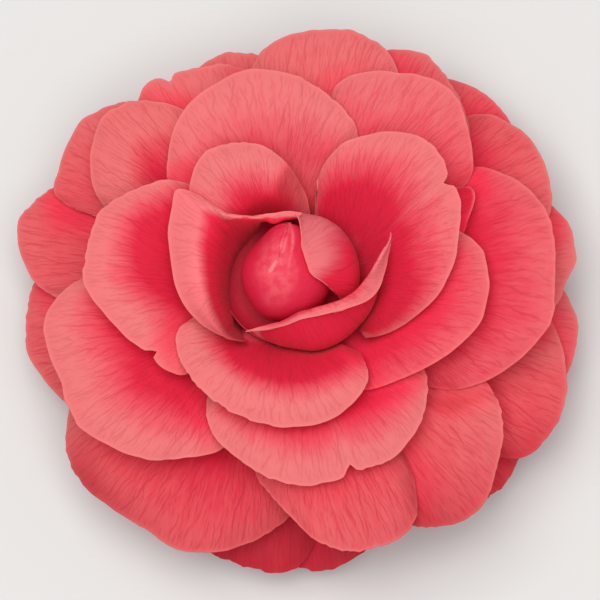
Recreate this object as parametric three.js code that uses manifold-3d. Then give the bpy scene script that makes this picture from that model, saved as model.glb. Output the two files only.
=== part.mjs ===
// Camellia flower as picked, lying on its back with its face up.
// Millimetres, +Z up. The origin is the centre of the flat spot under the calyx, the bloom's axis
// is +Z, azimuth 0 is +X and azimuth 90 is +Y.
import * as THREE from 'three';
import Module from 'manifold-3d';

// Driving sizes
const SEAT = 2.0;            // lift of the petal stack over the table heights, room for the calyx
const ROOT_RADIUS = 6.6;     // ring round the receptacle on which every petal is attached
const COLUMN_RADIUS = 5.9;   // receptacle, clear of the petal roots
const COLUMN_TOP = 23.2;
const SCAR_RADIUS = 4.6;     // flat round spot left where the flower broke from its twig
const BLADE = 0.62;          // petal thickness
const CLEAR = 1.08;          // least distance between the middles of two neighbouring petals
const FLARE = 0.2;          // how fast a lower petal may rise past the rim of the one above
const BLEND = 1.2;           // softness of the place where a petal begins to bear on the next
const FAN = 1.6;             // how early a petal spreads from its claw to its full width

const PETAL_COLOURS = [0xd83050, 0xe2485c, 0xe65562, 0xe25060, 0xd84a5a, 0xcc4456];
const HEART_COLOUR = 0xd42c4e;
const CALYX_COLOUR = 0x7f9a4c;

// Polar grid that carries the heights of the stack
const GRID = { inner: 5.0, outer: 54.0, step: 0.5, turn: 1.0 };
GRID.rings = Math.round((GRID.outer - GRID.inner) / GRID.step) + 1;
GRID.rays = Math.round(360 / GRID.turn);
const OPEN = 1000;           // height that stands for nothing overhead

const rad = (degrees) => (degrees * Math.PI) / 180;
const clamp = (x, low, high) => Math.min(Math.max(x, low), high);

// Catmull-Rom curve through rows of numbers, t from 0 to 1
function curve(rows, t) {
  const last = rows.length - 1;
  const x = clamp(t, 0, 1) * last;
  const i = Math.min(Math.floor(x), last - 1);
  const f = x - i;
  const at = (k) => {
    if (k < 0) return rows[0].map((v, c) => 2 * v - rows[1][c]);
    if (k > last) return rows[last].map((v, c) => 2 * v - rows[last - 1][c]);
    return rows[k];
  };
  const [a, b, c, d] = [at(i - 1), at(i), at(i + 1), at(i + 2)];
  return b.map((_, n) => 0.5 * (2 * b[n] + (c[n] - a[n]) * f
    + (2 * a[n] - 5 * b[n] + 4 * c[n] - d[n]) * f * f
    + (3 * b[n] - a[n] - 3 * c[n] + d[n]) * f * f * f));
}

// Petals that stand up and wrap the bud. Each fibre runs from the receptacle to the rim:
// [azimuth at the root, azimuth at the rim, [radius, height] from the root to the rim]
const WRAPPED = [
  { name: 'petal_hood', columns: 12, rows: 8, fibres: [
    [-18, -52, [[6.6, 20.8], [9.3, 23.4], [11.1, 27.0], [11.4, 29.4]]],
    [-5, -32, [[6.6, 20.8], [10.6, 24.4], [11.3, 30.0], [8.9, 34.6]]],
    [12, -12, [[6.6, 20.8], [11.0, 25.0], [11.2, 31.4], [5.2, 37.0]]],
    [24, 16, [[6.6, 20.8], [11.2, 25.0], [11.2, 31.6], [4.3, 37.4]]],
    [35, 42, [[6.6, 20.8], [11.2, 25.0], [11.2, 31.6], [4.5, 37.4]]],
    [46, 64, [[6.6, 20.8], [10.8, 25.0], [11.2, 31.0], [6.6, 36.4]]],
    [53, 79, [[6.6, 20.8], [10.2, 24.6], [11.3, 29.6], [10.4, 33.6]]],
  ] },
  { name: 'petal_boat', columns: 14, rows: 8, fibres: [
    [268, 237, [[6.6, 19.6], [9.6, 22.4], [11.2, 27.8], [11.9, 32.6]]],
    [276, 252, [[6.6, 19.6], [9.8, 22.2], [11.4, 28.4], [10.2, 33.6]]],
    [286, 272, [[6.6, 19.6], [10.4, 22.2], [12.0, 29.0], [8.6, 34.6]]],
    [297, 291, [[6.6, 19.6], [11.6, 22.6], [13.2, 29.4], [8.0, 35.0]]],
    [308, 311, [[6.6, 19.6], [12.2, 22.8], [14.0, 29.6], [9.0, 35.4]]],
    [318, 330, [[6.6, 19.6], [12.8, 23.0], [14.6, 29.8], [10.6, 35.6]]],
    [327, 346, [[6.6, 19.6], [13.2, 23.2], [15.6, 29.8], [13.2, 35.5]]],
    [335, 362, [[6.6, 19.6], [13.4, 23.4], [16.6, 29.6], [15.6, 35.0]]],
    [341, 375, [[6.6, 19.6], [13.2, 23.4], [17.4, 29.4], [18.2, 34.2]]],
    [343, 382, [[6.6, 19.6], [12.8, 23.4], [17.6, 29.2], [19.4, 33.6]]],
  ] },
  { name: 'petal_cup', columns: 20, rows: 10, fibres: [
    [196, 238, [[6.6, 19.9], [10.6, 22.0], [13.4, 26.6], [14.4, 30.6], [14.8, 33.6]]],
    [190, 226, [[6.6, 19.9], [10.8, 22.2], [12.9, 28.0], [13.9, 33.8], [16.2, 34.8]]],
    [182, 209, [[6.6, 19.9], [10.8, 22.2], [12.5, 29.0], [14.2, 35.2], [17.6, 34.6]]],
    [172, 188, [[6.6, 19.9], [10.8, 22.2], [12.4, 29.6], [14.2, 35.8], [19.0, 34.5]]],
    [162, 170, [[6.6, 19.9], [10.6, 22.2], [12.4, 29.8], [14.4, 36.0], [20.3, 34.2]]],
    [153, 155, [[6.6, 19.9], [10.4, 22.2], [12.4, 29.8], [14.8, 36.0], [21.6, 33.9]]],
    [147, 144, [[6.6, 19.9], [10.3, 22.2], [12.4, 29.6], [15.2, 35.9], [23.0, 33.5]]],
    [144, 139, [[6.6, 19.9], [10.2, 22.2], [12.3, 29.6], [14.8, 35.8], [22.0, 33.9]]],
    [141, 140, [[6.6, 19.9], [10.1, 22.2], [12.2, 29.4], [13.8, 35.6], [17.4, 35.6]]],
    [137, 135, [[6.6, 19.9], [10.0, 22.2], [11.9, 29.0], [12.3, 34.6], [13.4, 36.2]]],
    [131, 124, [[6.6, 19.9], [9.8, 22.2], [11.4, 28.6], [11.1, 34.2], [11.6, 36.4]]],
    [126, 112, [[6.6, 19.9], [9.6, 22.2], [11.0, 28.2], [10.1, 34.0], [10.2, 36.3]]],
    [121, 99, [[6.6, 19.9], [9.4, 22.2], [10.9, 28.0], [9.9, 34.0], [9.6, 36.0]]],
    [117, 86, [[6.6, 19.9], [9.2, 22.2], [10.8, 27.6], [10.6, 33.2], [10.4, 35.6]]],
  ] },
];

// Petals that open outwards, top of the stack first.
// rim: [azimuth, reach] along the edge. root, crest and tip: height at the receptacle, height the
// blade would run on to, and height of its rolled rim. sides: droop of both sides. lean: rise of
// the anticlockwise side over the other. claw: half width at the root in degrees.
const OPENED = [
  { ring: 2, at: 20, root: 17.0, crest: 34.6, tip: 33.0, rim: [[-38, 17], [-30, 20], [-19, 23.3],
    [-8, 26.5], [3, 28.8], [13, 30.4], [22, 32.1], [29, 32], [35, 33], [43, 32.8], [52, 30.6],
    [60, 27.4], [67, 24], [72, 19.5], [71, 14.5], [66, 11]] },
  { ring: 2, at: 110, root: 17.5, crest: 34.4, tip: 33.0, rim: [[70, 10], [78, 15], [88, 18.5],
    [96, 21], [103, 23], [111, 24.1], [119, 24.8], [127, 24.6], [135, 22.8], [144, 20],
    [152, 16]] },
  { ring: 2, at: 258, root: 16.5, crest: 33.6, tip: 31.8, rim: [[203, 17], [208, 21],
    [217, 22.8], [228, 23.7], [242, 24.8], [257, 25.7], [272, 26.3], [287, 26.2], [298, 24.8],
    [308, 22.6], [314, 18]] },
  { ring: 2, at: 180, root: 15.5, crest: 32.6, tip: 30.6, rim: [[132, 20], [136, 24],
    [140, 26.5], [145, 28.7], [152, 31.2], [159, 33.6], [166, 34.2], [173, 34.5], [180, 34.8],
    [186, 33.2], [194, 30.8], [202, 28.8], [209, 26.8], [216, 26.2], [223, 24.3], [228, 20]] },
  { ring: 2, at: 337, root: 14.5, crest: 31.4, tip: 29.8, rim: [[-64, 20], [-56, 23.5],
    [-43, 26.3], [-33, 29], [-25, 31.3], [-15, 33.9], [-8, 34.4], [1, 34.2], [8, 33.2],
    [14, 30.5], [18, 26]] },
  { ring: 3, at: 102, root: 13.5, crest: 30.6, tip: 28.4, rim: [[60, 24], [64, 27.8], [69, 30],
    [77, 32.4], [83, 34.2], [90, 35.6], [101, 37], [112, 36.1], [122, 34.2], [131, 31],
    [137, 28.6], [141, 26], [144, 21]] },
  { ring: 3, at: 280, root: 13.0, crest: 30.0, tip: 27.6, rim: [[230, 20], [237, 25.5],
    [244, 29.2], [250, 31], [257, 32.5], [265, 34.4], [275, 35.9], [283, 35.8], [291, 35.4],
    [299, 36], [306, 35], [313, 33.4], [319, 31.4], [325, 28.5], [330, 23]] },
  { ring: 3, at: 22, root: 13.0, crest: 29.4, tip: 28.0, claw: 14, rim: [[4, 27], [10, 29.5],
    [15, 31.2], [19, 33], [23, 35], [27, 35.3], [31, 34.6], [36, 32], [40, 28]] },
  { ring: 3, at: 53, root: 12.0, crest: 28.4, tip: 26.2, claw: 20, sides: 2.8, rim: [[27, 31],
    [29, 35.6], [34, 38.2], [39, 39.9], [43, 41.5], [47, 42.8], [52, 42.9], [57, 42],
    [62, 40.8], [67, 39.6], [73, 37.5], [77, 34.5], [79, 30]] },
  { ring: 3, at: 212, root: 11.5, crest: 27.6, tip: 24.6, rim: [[174, 30], [178, 35.9],
    [183, 40.3], [189, 42.7], [195, 43.1], [203, 42.7], [210, 43.4], [216, 43.3], [222, 41.7],
    [229, 39.8], [235, 37.4], [240, 34.8], [247, 31.4], [251, 27]] },
  { ring: 4, at: 282, root: 10.5, crest: 26.4, tip: 21.8, claw: 18, sides: 0.8, rim: [[257, 30],
    [261, 34], [266, 37.4], [271, 41], [276, 44.6], [282, 47.3], [288, 48], [293, 47.8],
    [297, 46.4], [300, 43.5], [302, 39], [303, 34]] },
  { ring: 4, at: 312, root: 10.0, crest: 24.0, tip: 19.4, claw: 18, sides: 0.6, lean: 2.6, rim: [
    [290, 38], [294, 44], [299, 47.8], [305, 50.2], [311, 50.2], [317, 47.8], [323, 45.4],
    [328, 42.8], [332, 40], [333, 37.4], [330, 35], [324, 31]] },
  { ring: 3, at: 357, root: 9.5, crest: 26.4, tip: 23.0, sides: 1.8, lean: 1.0, rim: [[-42, 27],
    [-38, 30.6], [-32, 35], [-27, 38.2], [-21, 41.2], [-15, 43.3], [-9, 45.4], [0, 45.5],
    [10, 45.9], [16, 45.4], [22, 43.6], [28, 40.2], [32, 37], [35, 31]] },
  { ring: 4, at: 139, root: 9.5, crest: 25.0, tip: 21.6, claw: 18, sides: 1.0, lean: -1.2, rim: [
    [118, 33], [123, 38], [128, 41.8], [133, 43.7], [138, 44.4], [143, 43.3], [148, 41.2],
    [153, 38.3], [157, 34.5], [159, 30]] },
  { ring: 4, at: 80, root: 9.0, crest: 24.6, tip: 20.6, claw: 18, sides: 0.8, rim: [[58, 36],
    [63, 41.5], [68, 44.6], [73, 45.6], [78, 46], [83, 45.6], [88, 44.7], [94, 43.1],
    [98, 41.2], [102, 37]] },
  { ring: 4, at: 116, root: 9.0, crest: 22.6, tip: 19.6, claw: 18, sides: 3.2, rim: [[95, 32],
    [98, 37], [102, 40], [107, 41.5], [113, 42.4], [119, 43.6], [124, 44.5], [128, 43.4],
    [131, 41.5], [135, 38], [138, 33]] },
  { ring: 4, at: 55, root: 8.5, crest: 22.0, tip: 17.6, claw: 18, sides: 1.6, lean: -1.4, rim: [
    [33, 36], [38, 39.6], [44, 42.3], [49, 44.2], [54, 45.8], [59, 47.1], [64, 46.7],
    [69, 45.2], [73, 42.5], [77, 38]] },
  { ring: 4, at: 30, root: 8.0, crest: 18.7, tip: 14.8, claw: 18, sides: 1.8, lean: -1.6, rim: [
    [9, 40], [13, 44.5], [17, 46.9], [22, 48.3], [28, 48.9], [33, 49], [38, 47.9], [42, 46.2],
    [46, 43], [50, 38]] },
  { ring: 5, at: 46, root: 7.5, crest: 13.8, tip: 10.4, claw: 16, sides: 1.2, rim: [[30, 41],
    [34, 45.5], [38, 48.3], [43, 48.9], [48, 48.5], [53, 47.7], [58, 45.8], [62, 42]] },
  { ring: 4, at: 8, root: 7.5, crest: 18.0, tip: 14.0, claw: 16, sides: 1.6, lean: -1.4, rim: [
    [-9, 42], [-4, 45.5], [1, 47.4], [6, 49.2], [12, 49.2], [17, 48], [21, 45.5], [25, 41]] },
  { ring: 4, at: 338, root: 7.0, crest: 16.6, tip: 12.8, claw: 18, sides: 1.4, lean: 0, rim: [
    [-44, 40], [-40, 45], [-37, 48.8], [-33, 50.4], [-27, 51], [-21, 50.4], [-16, 48.9],
    [-11, 46.8], [-6, 44], [-1, 39]] },
  { ring: 5, at: 349, root: 7.0, crest: 13.5, tip: 9.6, claw: 16, sides: 1.4, rim: [[-28, 42],
    [-22, 47.5], [-17, 49.3], [-12, 49.6], [-7, 49.5], [-3, 48.4], [1, 46.2], [5, 42]] },
  { ring: 5, at: 317, root: 6.0, crest: 11.6, tip: 7.6, claw: 14, rim: [[302, 42], [307, 46],
    [312, 48.2], [317, 49.1], [322, 48.4], [326, 46.5], [330, 42]] },
  { ring: 4, at: 236, root: 7.5, crest: 19.4, tip: 13.6, rim: [[201, 38], [206, 43.5],
    [212, 47], [218, 49], [224, 49.6], [230, 49.1], [237, 48.5], [245, 49.2], [252, 47.6],
    [258, 45.4], [264, 42.2], [269, 38.5], [272, 34]] },
  { ring: 5, at: 141, root: 7.5, crest: 18.4, tip: 14.0, claw: 16, rim: [[124, 40], [128, 44],
    [132, 46.4], [137, 48], [142, 48.9], [147, 48.3], [152, 47.3], [156, 46.4], [158, 43],
    [158, 38]] },
  { ring: 5, at: 164, root: 7.0, crest: 15.6, tip: 10.4, claw: 16, sides: 1.0, lean: 0.8, rim: [
    [148, 40], [152, 45.5], [156, 48.2], [160, 50], [164, 51], [168, 50.3], [172, 48.7],
    [176, 46.2], [180, 42]] },
  { ring: 5, at: 190, root: 6.0, crest: 12.6, tip: 7.8, claw: 16, sides: 2.4, rim: [[171, 42],
    [175, 46.4], [180, 47.8], [186, 48.3], [191, 48.4], [197, 46.9], [204, 44.4], [209, 40]] },
  { ring: 5, at: 106, root: 7.0, crest: 16.0, tip: 12.6, claw: 16, rim: [[88, 36], [93, 41],
    [98, 43.2], [103, 44.5], [108, 45.2], [113, 44.2], [119, 41.5], [124, 36]] },
  { ring: 5, at: 258, root: 5.5, crest: 11.4, tip: 6.2, claw: 16, sides: 1.0, rim: [[240, 40],
    [245, 44.5], [250, 46.8], [256, 47.6], [262, 48.2], [267, 48.1], [271, 46.4], [275, 42]] },
  { ring: 5, at: 278, root: 5.0, crest: 8.4, tip: 4.2, claw: 16, sides: 1.6, rim: [[262, 41],
    [267, 45], [271, 47.2], [276, 48], [281, 46.8], [286, 45], [291, 42], [295, 38]] },
  plain(6, 75, 42, 6.0, 9.0, 4.0),
  plain(6, 190, 41, 5.5, 8.0, 4.0),
  plain(6, 320, 41, 5.0, 8.0, 4.0),
  plain(6, 20, 39, 4.5, 6.0, 3.0),
  plain(6, 125, 38, 4.5, 6.4, -1.75),
  plain(6, 245, 38, 4.0, 5.6, -1.74),
  plain(6, 5, 36, 3.6, 5.2, -1.74),
];

// Petal with an even round rim, as the ones at the back of the bloom have
function plain(ring, at, reach, root, crest, tip, half = 24) {
  const rim = [[-1, 9], [-0.83, 4], [-0.5, 1], [0, 0], [0.5, 1], [0.83, 4], [1, 9]]
    .map(([side, short]) => [at + side * half, reach - short]);
  return { ring, at, root, crest, tip, claw: 16, sides: 0.6, rim };
}

// Calyx: five sepals and the small bracts under them, laid in the same stack and fused below
const SEPALS = [
  sepal(55, 14.5, 2.6, 3.4, 2.2), sepal(200, 14.0, 2.2, 3.0, 1.9), sepal(325, 14.0, 1.8, 2.6, 1.6),
  sepal(125, 13.0, 1.4, 2.2, 1.2), sepal(265, 13.0, 1.0, 1.8, 0.9),
  sepal(0, 10.0, 0.4, 0.8, 0.2, 30), sepal(160, 10.0, 0.2, 0.6, 0.0, 30),
];

function sepal(at, reach, root, crest, tip, half = 36) {
  const rim = [[-1, 3.6], [-0.8, 1.6], [-0.4, 0.4], [0, 0], [0.4, 0.4], [0.8, 1.6], [1, 3.6]]
    .map(([side, short]) => [at + side * half, reach - short]);
  return { at, root, crest, tip, claw: 34, sides: 0.3, rim };
}

// Height grid helpers
const field = (value) => new Float64Array(GRID.rays * GRID.rings).fill(value);
const ringAt = (k) => GRID.inner + k * GRID.step;
const cell = (ray, ring) => (((ray % GRID.rays) + GRID.rays) % GRID.rays) * GRID.rings + ring;

// Height read between the grid's cells
function heightAt(heights, azimuth, radius) {
  const a = (((azimuth % 360) + 360) % 360) / GRID.turn;
  const r = clamp((radius - GRID.inner) / GRID.step, 0, GRID.rings - 1.001);
  const ia = Math.floor(a);
  const ir = Math.floor(r);
  const [fa, fr] = [a - ia, r - ir];
  const along = (ray) => heights[cell(ray, ir)] * (1 - fr) + heights[cell(ray, ir + 1)] * fr;
  return along(ia) * (1 - fa) + along(ia + 1) * fa;
}

// What has to stay clear under a petal: each of its cells lowers a bowl round itself
function clearUnder(heights, ceiling) {
  const spread = field(OPEN);
  const span = Math.round(7 / GRID.step);
  for (let i = 0; i < GRID.rays; i += 1) {
    for (let k = 0; k < GRID.rings; k += 1) {
      const h = heights[cell(i, k)];
      if (h >= OPEN) continue;
      const first = Math.max(0, k - span);
      const last = Math.min(GRID.rings - 1, k + span);
      for (let n = first; n <= last; n += 1) {
        const d = (n - k) * GRID.step;
        const low = h - CLEAR + FLARE * d * d;
        if (low < spread[cell(i, n)]) spread[cell(i, n)] = low;
      }
    }
  }
  const turned = 7 / rad(GRID.turn);
  for (let k = 0; k < GRID.rings; k += 1) {
    const reach = Math.min(Math.ceil(turned / ringAt(k)), 40);
    for (let i = 0; i < GRID.rays; i += 1) {
      const h = spread[cell(i, k)];
      if (h >= OPEN) continue;
      for (let n = -reach; n <= reach; n += 1) {
        const d = ringAt(k) * rad(GRID.turn) * n;
        const low = h + FLARE * d * d;
        if (low < ceiling[cell(i + n, k)]) ceiling[cell(i + n, k)] = low;
      }
    }
  }
}

// Light smoothing along both directions of the grid
function soften(heights) {
  const weights = [0.25, 0.5, 0.25];
  const turned = field(0);
  const out = field(0);
  for (let i = 0; i < GRID.rays; i += 1) {
    for (let k = 0; k < GRID.rings; k += 1) {
      weights.forEach((w, n) => { turned[cell(i, k)] += w * heights[cell(i + n - 1, k)]; });
    }
  }
  for (let i = 0; i < GRID.rays; i += 1) {
    for (let k = 0; k < GRID.rings; k += 1) {
      weights.forEach((w, n) => {
        out[cell(i, k)] += w * turned[cell(i, clamp(k + n - 1, 0, GRID.rings - 1))];
      });
    }
  }
  return out;
}

// Reach of a petal's rim along every ray, smoothed, and how far to its side each ray lies
function rimReach(petal) {
  const { rim } = petal;
  const middle = 0.5 * (rim[0][0] + rim[rim.length - 1][0]);
  const dense = Array.from({ length: 400 }, (_, n) => curve(rim, n / 399));
  const low = Math.min(...dense.map((p) => p[0])) - middle;
  const high = Math.max(...dense.map((p) => p[0])) - middle;
  const offset = Array.from({ length: GRID.rays }, (_, i) => {
    const turn = i * GRID.turn - middle + 180;
    return (((turn % 360) + 360) % 360) - 180;
  });
  const found = offset.map((rel) => dense.reduce((best, [a, r]) => (
    Math.abs(rel - (a - middle)) < 1.2 ? Math.max(best, r) : best), 0));
  const inside = offset.map((rel, i) => [rel, found[i]]).filter((p) => p[1] > 0);
  inside.sort((p, q) => p[0] - q[0]);
  const ends = [inside[0][1], inside[inside.length - 1][1]];
  const filled = found.map((r, i) => (r > 0 ? r : ends[offset[i] < 0 ? 0 : 1]));
  const kernel = Array.from({ length: 13 }, (_, n) => Math.exp(-0.5 * ((n - 6) / 2.5) ** 2));
  const total = kernel.reduce((a, b) => a + b, 0);
  const reach = filled.map((_, i) => kernel.reduce((sum, w, n) => (
    sum + w * filled[(i + n - 6 + GRID.rays) % GRID.rays]), 0) / total);
  const side = offset.map((rel) => (rel - 0.5 * (high + low)) / (0.5 * (high - low)));
  return { reach, side, most: Math.max(...reach) };
}

// Heights a petal would take with nothing over it
function restHeights(petal) {
  const { root, crest, tip, sides = 2.0, lean = 0, bend = 2.2, roll = 0.62 } = petal;
  const { reach, side, most } = rimReach(petal);
  const out = field(0);
  for (let i = 0; i < GRID.rays; i += 1) {
    const far = clamp(side[i], -1.3, 1.3);
    for (let k = 0; k < GRID.rings; k += 1) {
      const run = ringAt(k) - ROOT_RADIUS;
      const s = Math.max(run / (reach[i] - ROOT_RADIUS), -0.05);
      const whole = run / (0.97 * most - ROOT_RADIUS);
      const rise = 1 - (1 - clamp(whole, -0.05, 1)) ** bend;
      const over = clamp((s - roll) / (1 - roll), 0, 1.6);
      out[cell(i, k)] = root + (crest - root) * rise - (crest - tip) * over * over
        + (lean * far - sides * far * far) * clamp(whole, 0, 1.2);
    }
  }
  return out;
}

// Soft lesser of two heights
function softMin(a, b) {
  const h = Math.max(BLEND - Math.abs(a - b), 0) / BLEND;
  return Math.min(a, b) - h * h * BLEND * 0.25;
}

// Place on an opened petal: u across from 0 to 1, v from the root to the rim
function planAt(petal, u, v, rootRadius = ROOT_RADIUS) {
  const { rim, claw = 24 } = petal;
  const [edge, reach] = curve(rim, u);
  const middle = 0.5 * (rim[0][0] + rim[rim.length - 1][0]);
  const start = middle + (u * 2 - 1) * claw;
  const azimuth = start + (edge - start) * (1 - (1 - v) ** FAN);
  return [azimuth, rootRadius + (reach - rootRadius) * v];
}

// Place on a wrapped petal, as [x, y, z] in table heights
function wrappedAt(petal, u, v) {
  const { fibres } = petal;
  const [from, to] = curve(fibres.map((f) => [f[0], f[1]]), u);
  const [radius, z] = curve(fibres.map((f) => curve(f[2], v)), u);
  const azimuth = rad(from + (to - from) * (1 - (1 - v) ** FAN));
  return [radius * Math.cos(azimuth), radius * Math.sin(azimuth), z];
}

// Mark the lowest height of a surface in each cell it passes over
function mark(pointAt, across, along) {
  const heights = field(OPEN);
  for (let i = 0; i <= across; i += 1) {
    for (let j = 0; j <= along; j += 1) {
      const [x, y, z] = pointAt(i / across, j / along);
      const k = Math.round((Math.hypot(x, y) - GRID.inner) / GRID.step);
      if (k >= 0 && k < GRID.rings) {
        const ray = Math.round((Math.atan2(y, x) * 180) / Math.PI / GRID.turn);
        const at = cell(ray, k);
        heights[at] = Math.min(heights[at], z);
      }
    }
  }
  return heights;
}

// Closed blade of even thickness round a surface. Top and bottom are triangulated alike.
function bladeGeometry(pointAt, columns, rows, thickness = BLADE) {
  const point = (i, j) => new THREE.Vector3(...pointAt(i / columns, j / rows));
  const grid = Array.from({ length: columns + 1 }, (_, i) => (
    Array.from({ length: rows + 1 }, (__, j) => point(i, j))));
  const at = (i, j) => grid[clamp(i, 0, columns)][clamp(j, 0, rows)];
  const normal = (i, j) => {
    const across = at(i + 1, j).clone().sub(at(i - 1, j));
    const along = at(i, j + 1).clone().sub(at(i, j - 1));
    return along.cross(across).normalize();
  };
  const positions = [];
  [1, -1].forEach((face) => {
    for (let i = 0; i <= columns; i += 1) {
      for (let j = 0; j <= rows; j += 1) {
        const p = at(i, j).clone().addScaledVector(normal(i, j), (face * thickness) / 2);
        positions.push(p.x, p.y, p.z + SEAT);
      }
    }
  });
  const layer = (columns + 1) * (rows + 1);
  const id = (i, j, face) => face * layer + i * (rows + 1) + j;
  const index = [];
  for (let i = 0; i < columns; i += 1) {
    for (let j = 0; j < rows; j += 1) {
      const [a, b, c, d] = [[i, j], [i, j + 1], [i + 1, j + 1], [i + 1, j]];
      [[a, b, c], [a, c, d]].forEach(([p, q, r]) => {
        index.push(id(...p, 0), id(...q, 0), id(...r, 0));
        index.push(id(...p, 1), id(...r, 1), id(...q, 1));
      });
    }
  }
  const edge = [];
  for (let j = 0; j < rows; j += 1) edge.push([0, j]);
  for (let i = 0; i < columns; i += 1) edge.push([i, rows]);
  for (let j = rows; j > 0; j -= 1) edge.push([columns, j]);
  for (let i = columns; i > 0; i -= 1) edge.push([i, 0]);
  edge.forEach((p, n) => {
    const q = edge[(n + 1) % edge.length];
    index.push(id(...p, 0), id(...p, 1), id(...q, 1), id(...p, 0), id(...q, 1), id(...q, 0));
  });
  return indexed(positions, index);
}

function indexed(positions, index) {
  const geometry = new THREE.BufferGeometry();
  geometry.setAttribute('position', new THREE.Float32BufferAttribute(positions, 3));
  geometry.setIndex(index);
  return outward(geometry);
}

// Turn every triangle over if the body is inside out
function outward(geometry) {
  const p = geometry.getAttribute('position');
  const ids = Array.from(geometry.getIndex().array);
  const corner = (n) => new THREE.Vector3().fromBufferAttribute(p, ids[n]);
  let volume = 0;
  for (let n = 0; n < ids.length; n += 3) {
    volume += corner(n).dot(corner(n + 1).cross(corner(n + 2)));
  }
  if (volume < 0) {
    for (let n = 0; n < ids.length; n += 3) [ids[n + 1], ids[n + 2]] = [ids[n + 2], ids[n + 1]];
    geometry.setIndex(ids);
  }
  geometry.computeVertexNormals();
  return geometry;
}

// Rounded bud of rolled inner petals, with its tip leaning to the back
const BUD = { radius: 7.7, centre: 29.5, tip: [0.5, 8.2, 5.4], reach: 2.4, sharp: 9 };

function budAt(turn, rise) {
  const [a, b] = [rad(turn), rad(rise)];
  const way = new THREE.Vector3(Math.cos(a) * Math.cos(b), Math.sin(a) * Math.cos(b), Math.sin(b));
  const towards = Math.max(way.dot(new THREE.Vector3(...BUD.tip).normalize()), 0);
  const radius = BUD.radius + BUD.reach * towards ** BUD.sharp;
  return way.multiplyScalar(radius).add(new THREE.Vector3(0, 0, BUD.centre));
}

function budGeometry(rounds = 24, levels = 16) {
  const positions = [];
  const put = (p) => positions.push(p.x, p.y, p.z + SEAT);
  put(budAt(0, 90));
  for (let j = 1; j < levels; j += 1) {
    for (let i = 0; i < rounds; i += 1) put(budAt((360 * i) / rounds, 90 - (180 * j) / levels));
  }
  put(budAt(0, -90));
  const id = (i, j) => 1 + (j - 1) * rounds + (i % rounds);
  const last = positions.length / 3 - 1;
  const index = [];
  for (let i = 0; i < rounds; i += 1) {
    index.push(0, id(i, 1), id(i + 1, 1));
    index.push(last, id(i + 1, levels - 1), id(i, levels - 1));
    for (let j = 1; j < levels - 1; j += 1) {
      index.push(id(i, j), id(i, j + 1), id(i + 1, j + 1));
      index.push(id(i, j), id(i + 1, j + 1), id(i + 1, j));
    }
  }
  return indexed(positions, index);
}

// Manifold bodies, for the calyx alone, whose sepals grow together with the receptacle
const wasm = await Module();
wasm.setup();

function toManifold(geometry) {
  return new wasm.Manifold(new wasm.Mesh({
    numProp: 3,
    vertProperties: new Float32Array(geometry.getAttribute('position').array),
    triVerts: new Uint32Array(geometry.getIndex().array),
  }));
}

function fromManifold(body) {
  const mesh = body.getMesh();
  const points = [];
  for (let n = 0; n < mesh.vertProperties.length; n += mesh.numProp) {
    points.push(...mesh.vertProperties.slice(n, n + 3));
  }
  return indexed(points, Array.from(mesh.triVerts));
}

// Receptacle: a turned core from the flat scar to the point the bud sits on
function receptacle() {
  const profile = [[0, 0], [SCAR_RADIUS, 0], [5.4, 0.7], [COLUMN_RADIUS, 1.8],
    [COLUMN_RADIUS, COLUMN_TOP - 0.8], [5.4, COLUMN_TOP - 0.1], [2.6, COLUMN_TOP + 0.2],
    [0, COLUMN_TOP + 0.3]];
  const lathe = new THREE.LatheGeometry(profile.map(([x, y]) => new THREE.Vector2(x, y)), 32);
  lathe.rotateX(Math.PI / 2);
  return closed(lathe);
}

// Weld a turned shape's seam and poles
function closed(geometry) {
  const p = geometry.getAttribute('position');
  const seen = new Map();
  const points = [];
  const remap = [];
  for (let n = 0; n < p.count; n += 1) {
    const key = [p.getX(n), p.getY(n), p.getZ(n)].map((v) => Math.round(v * 1e4)).join(',');
    if (!seen.has(key)) {
      seen.set(key, points.length / 3);
      points.push(p.getX(n), p.getY(n), p.getZ(n));
    }
    remap.push(seen.get(key));
  }
  const source = Array.from(geometry.getIndex().array);
  const index = [];
  for (let n = 0; n < source.length; n += 3) {
    const [a, b, c] = source.slice(n, n + 3).map((v) => remap[v]);
    if (a !== b && b !== c && c !== a) index.push(a, b, c);
  }
  return indexed(points, index);
}

// Build the flower
const group = new THREE.Group();
group.name = 'camellia_flower';

function add(name, geometry, color, roughness = 0.6) {
  const material = new THREE.MeshStandardMaterial({ color, roughness, metalness: 0 });
  material.name = name === 'calyx' ? 'calyx' : 'petal';
  const mesh = new THREE.Mesh(geometry, material);
  mesh.name = name;
  group.add(mesh);
}

const ceiling = field(OPEN);

add('heart_bud', budGeometry(), HEART_COLOUR);
clearUnder(mark((u, v) => budAt(360 * u, 180 * v - 90).toArray(), 240, 120), ceiling);

WRAPPED.forEach((petal) => {
  const pointAt = (u, v) => wrappedAt(petal, u, v);
  clearUnder(mark(pointAt, 150, 110), ceiling);
  add(petal.name, bladeGeometry(pointAt, petal.columns, petal.rows), PETAL_COLOURS[0]);
});

// Surface of one opened petal, pressed down under everything laid before it
function lay(petal, rootRadius = ROOT_RADIUS) {
  const heights = soften(restHeights(petal).map((h, n) => softMin(h, ceiling[n])));
  return (u, v) => {
    const [azimuth, radius] = planAt(petal, u, v, rootRadius);
    const a = rad(azimuth);
    return [radius * Math.cos(a), radius * Math.sin(a), heightAt(heights, azimuth, radius)];
  };
}

OPENED.forEach((petal) => {
  const pointAt = lay(petal);
  clearUnder(mark(pointAt, 150, 110), ceiling);
  const columns = petal.rim.length > 11 ? 11 : 8;
  const name = `petal_ring${petal.ring}_az${String(petal.at).padStart(3, '0')}`;
  add(name, bladeGeometry(pointAt, columns, 8), PETAL_COLOURS[petal.ring - 1]);
});

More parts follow.
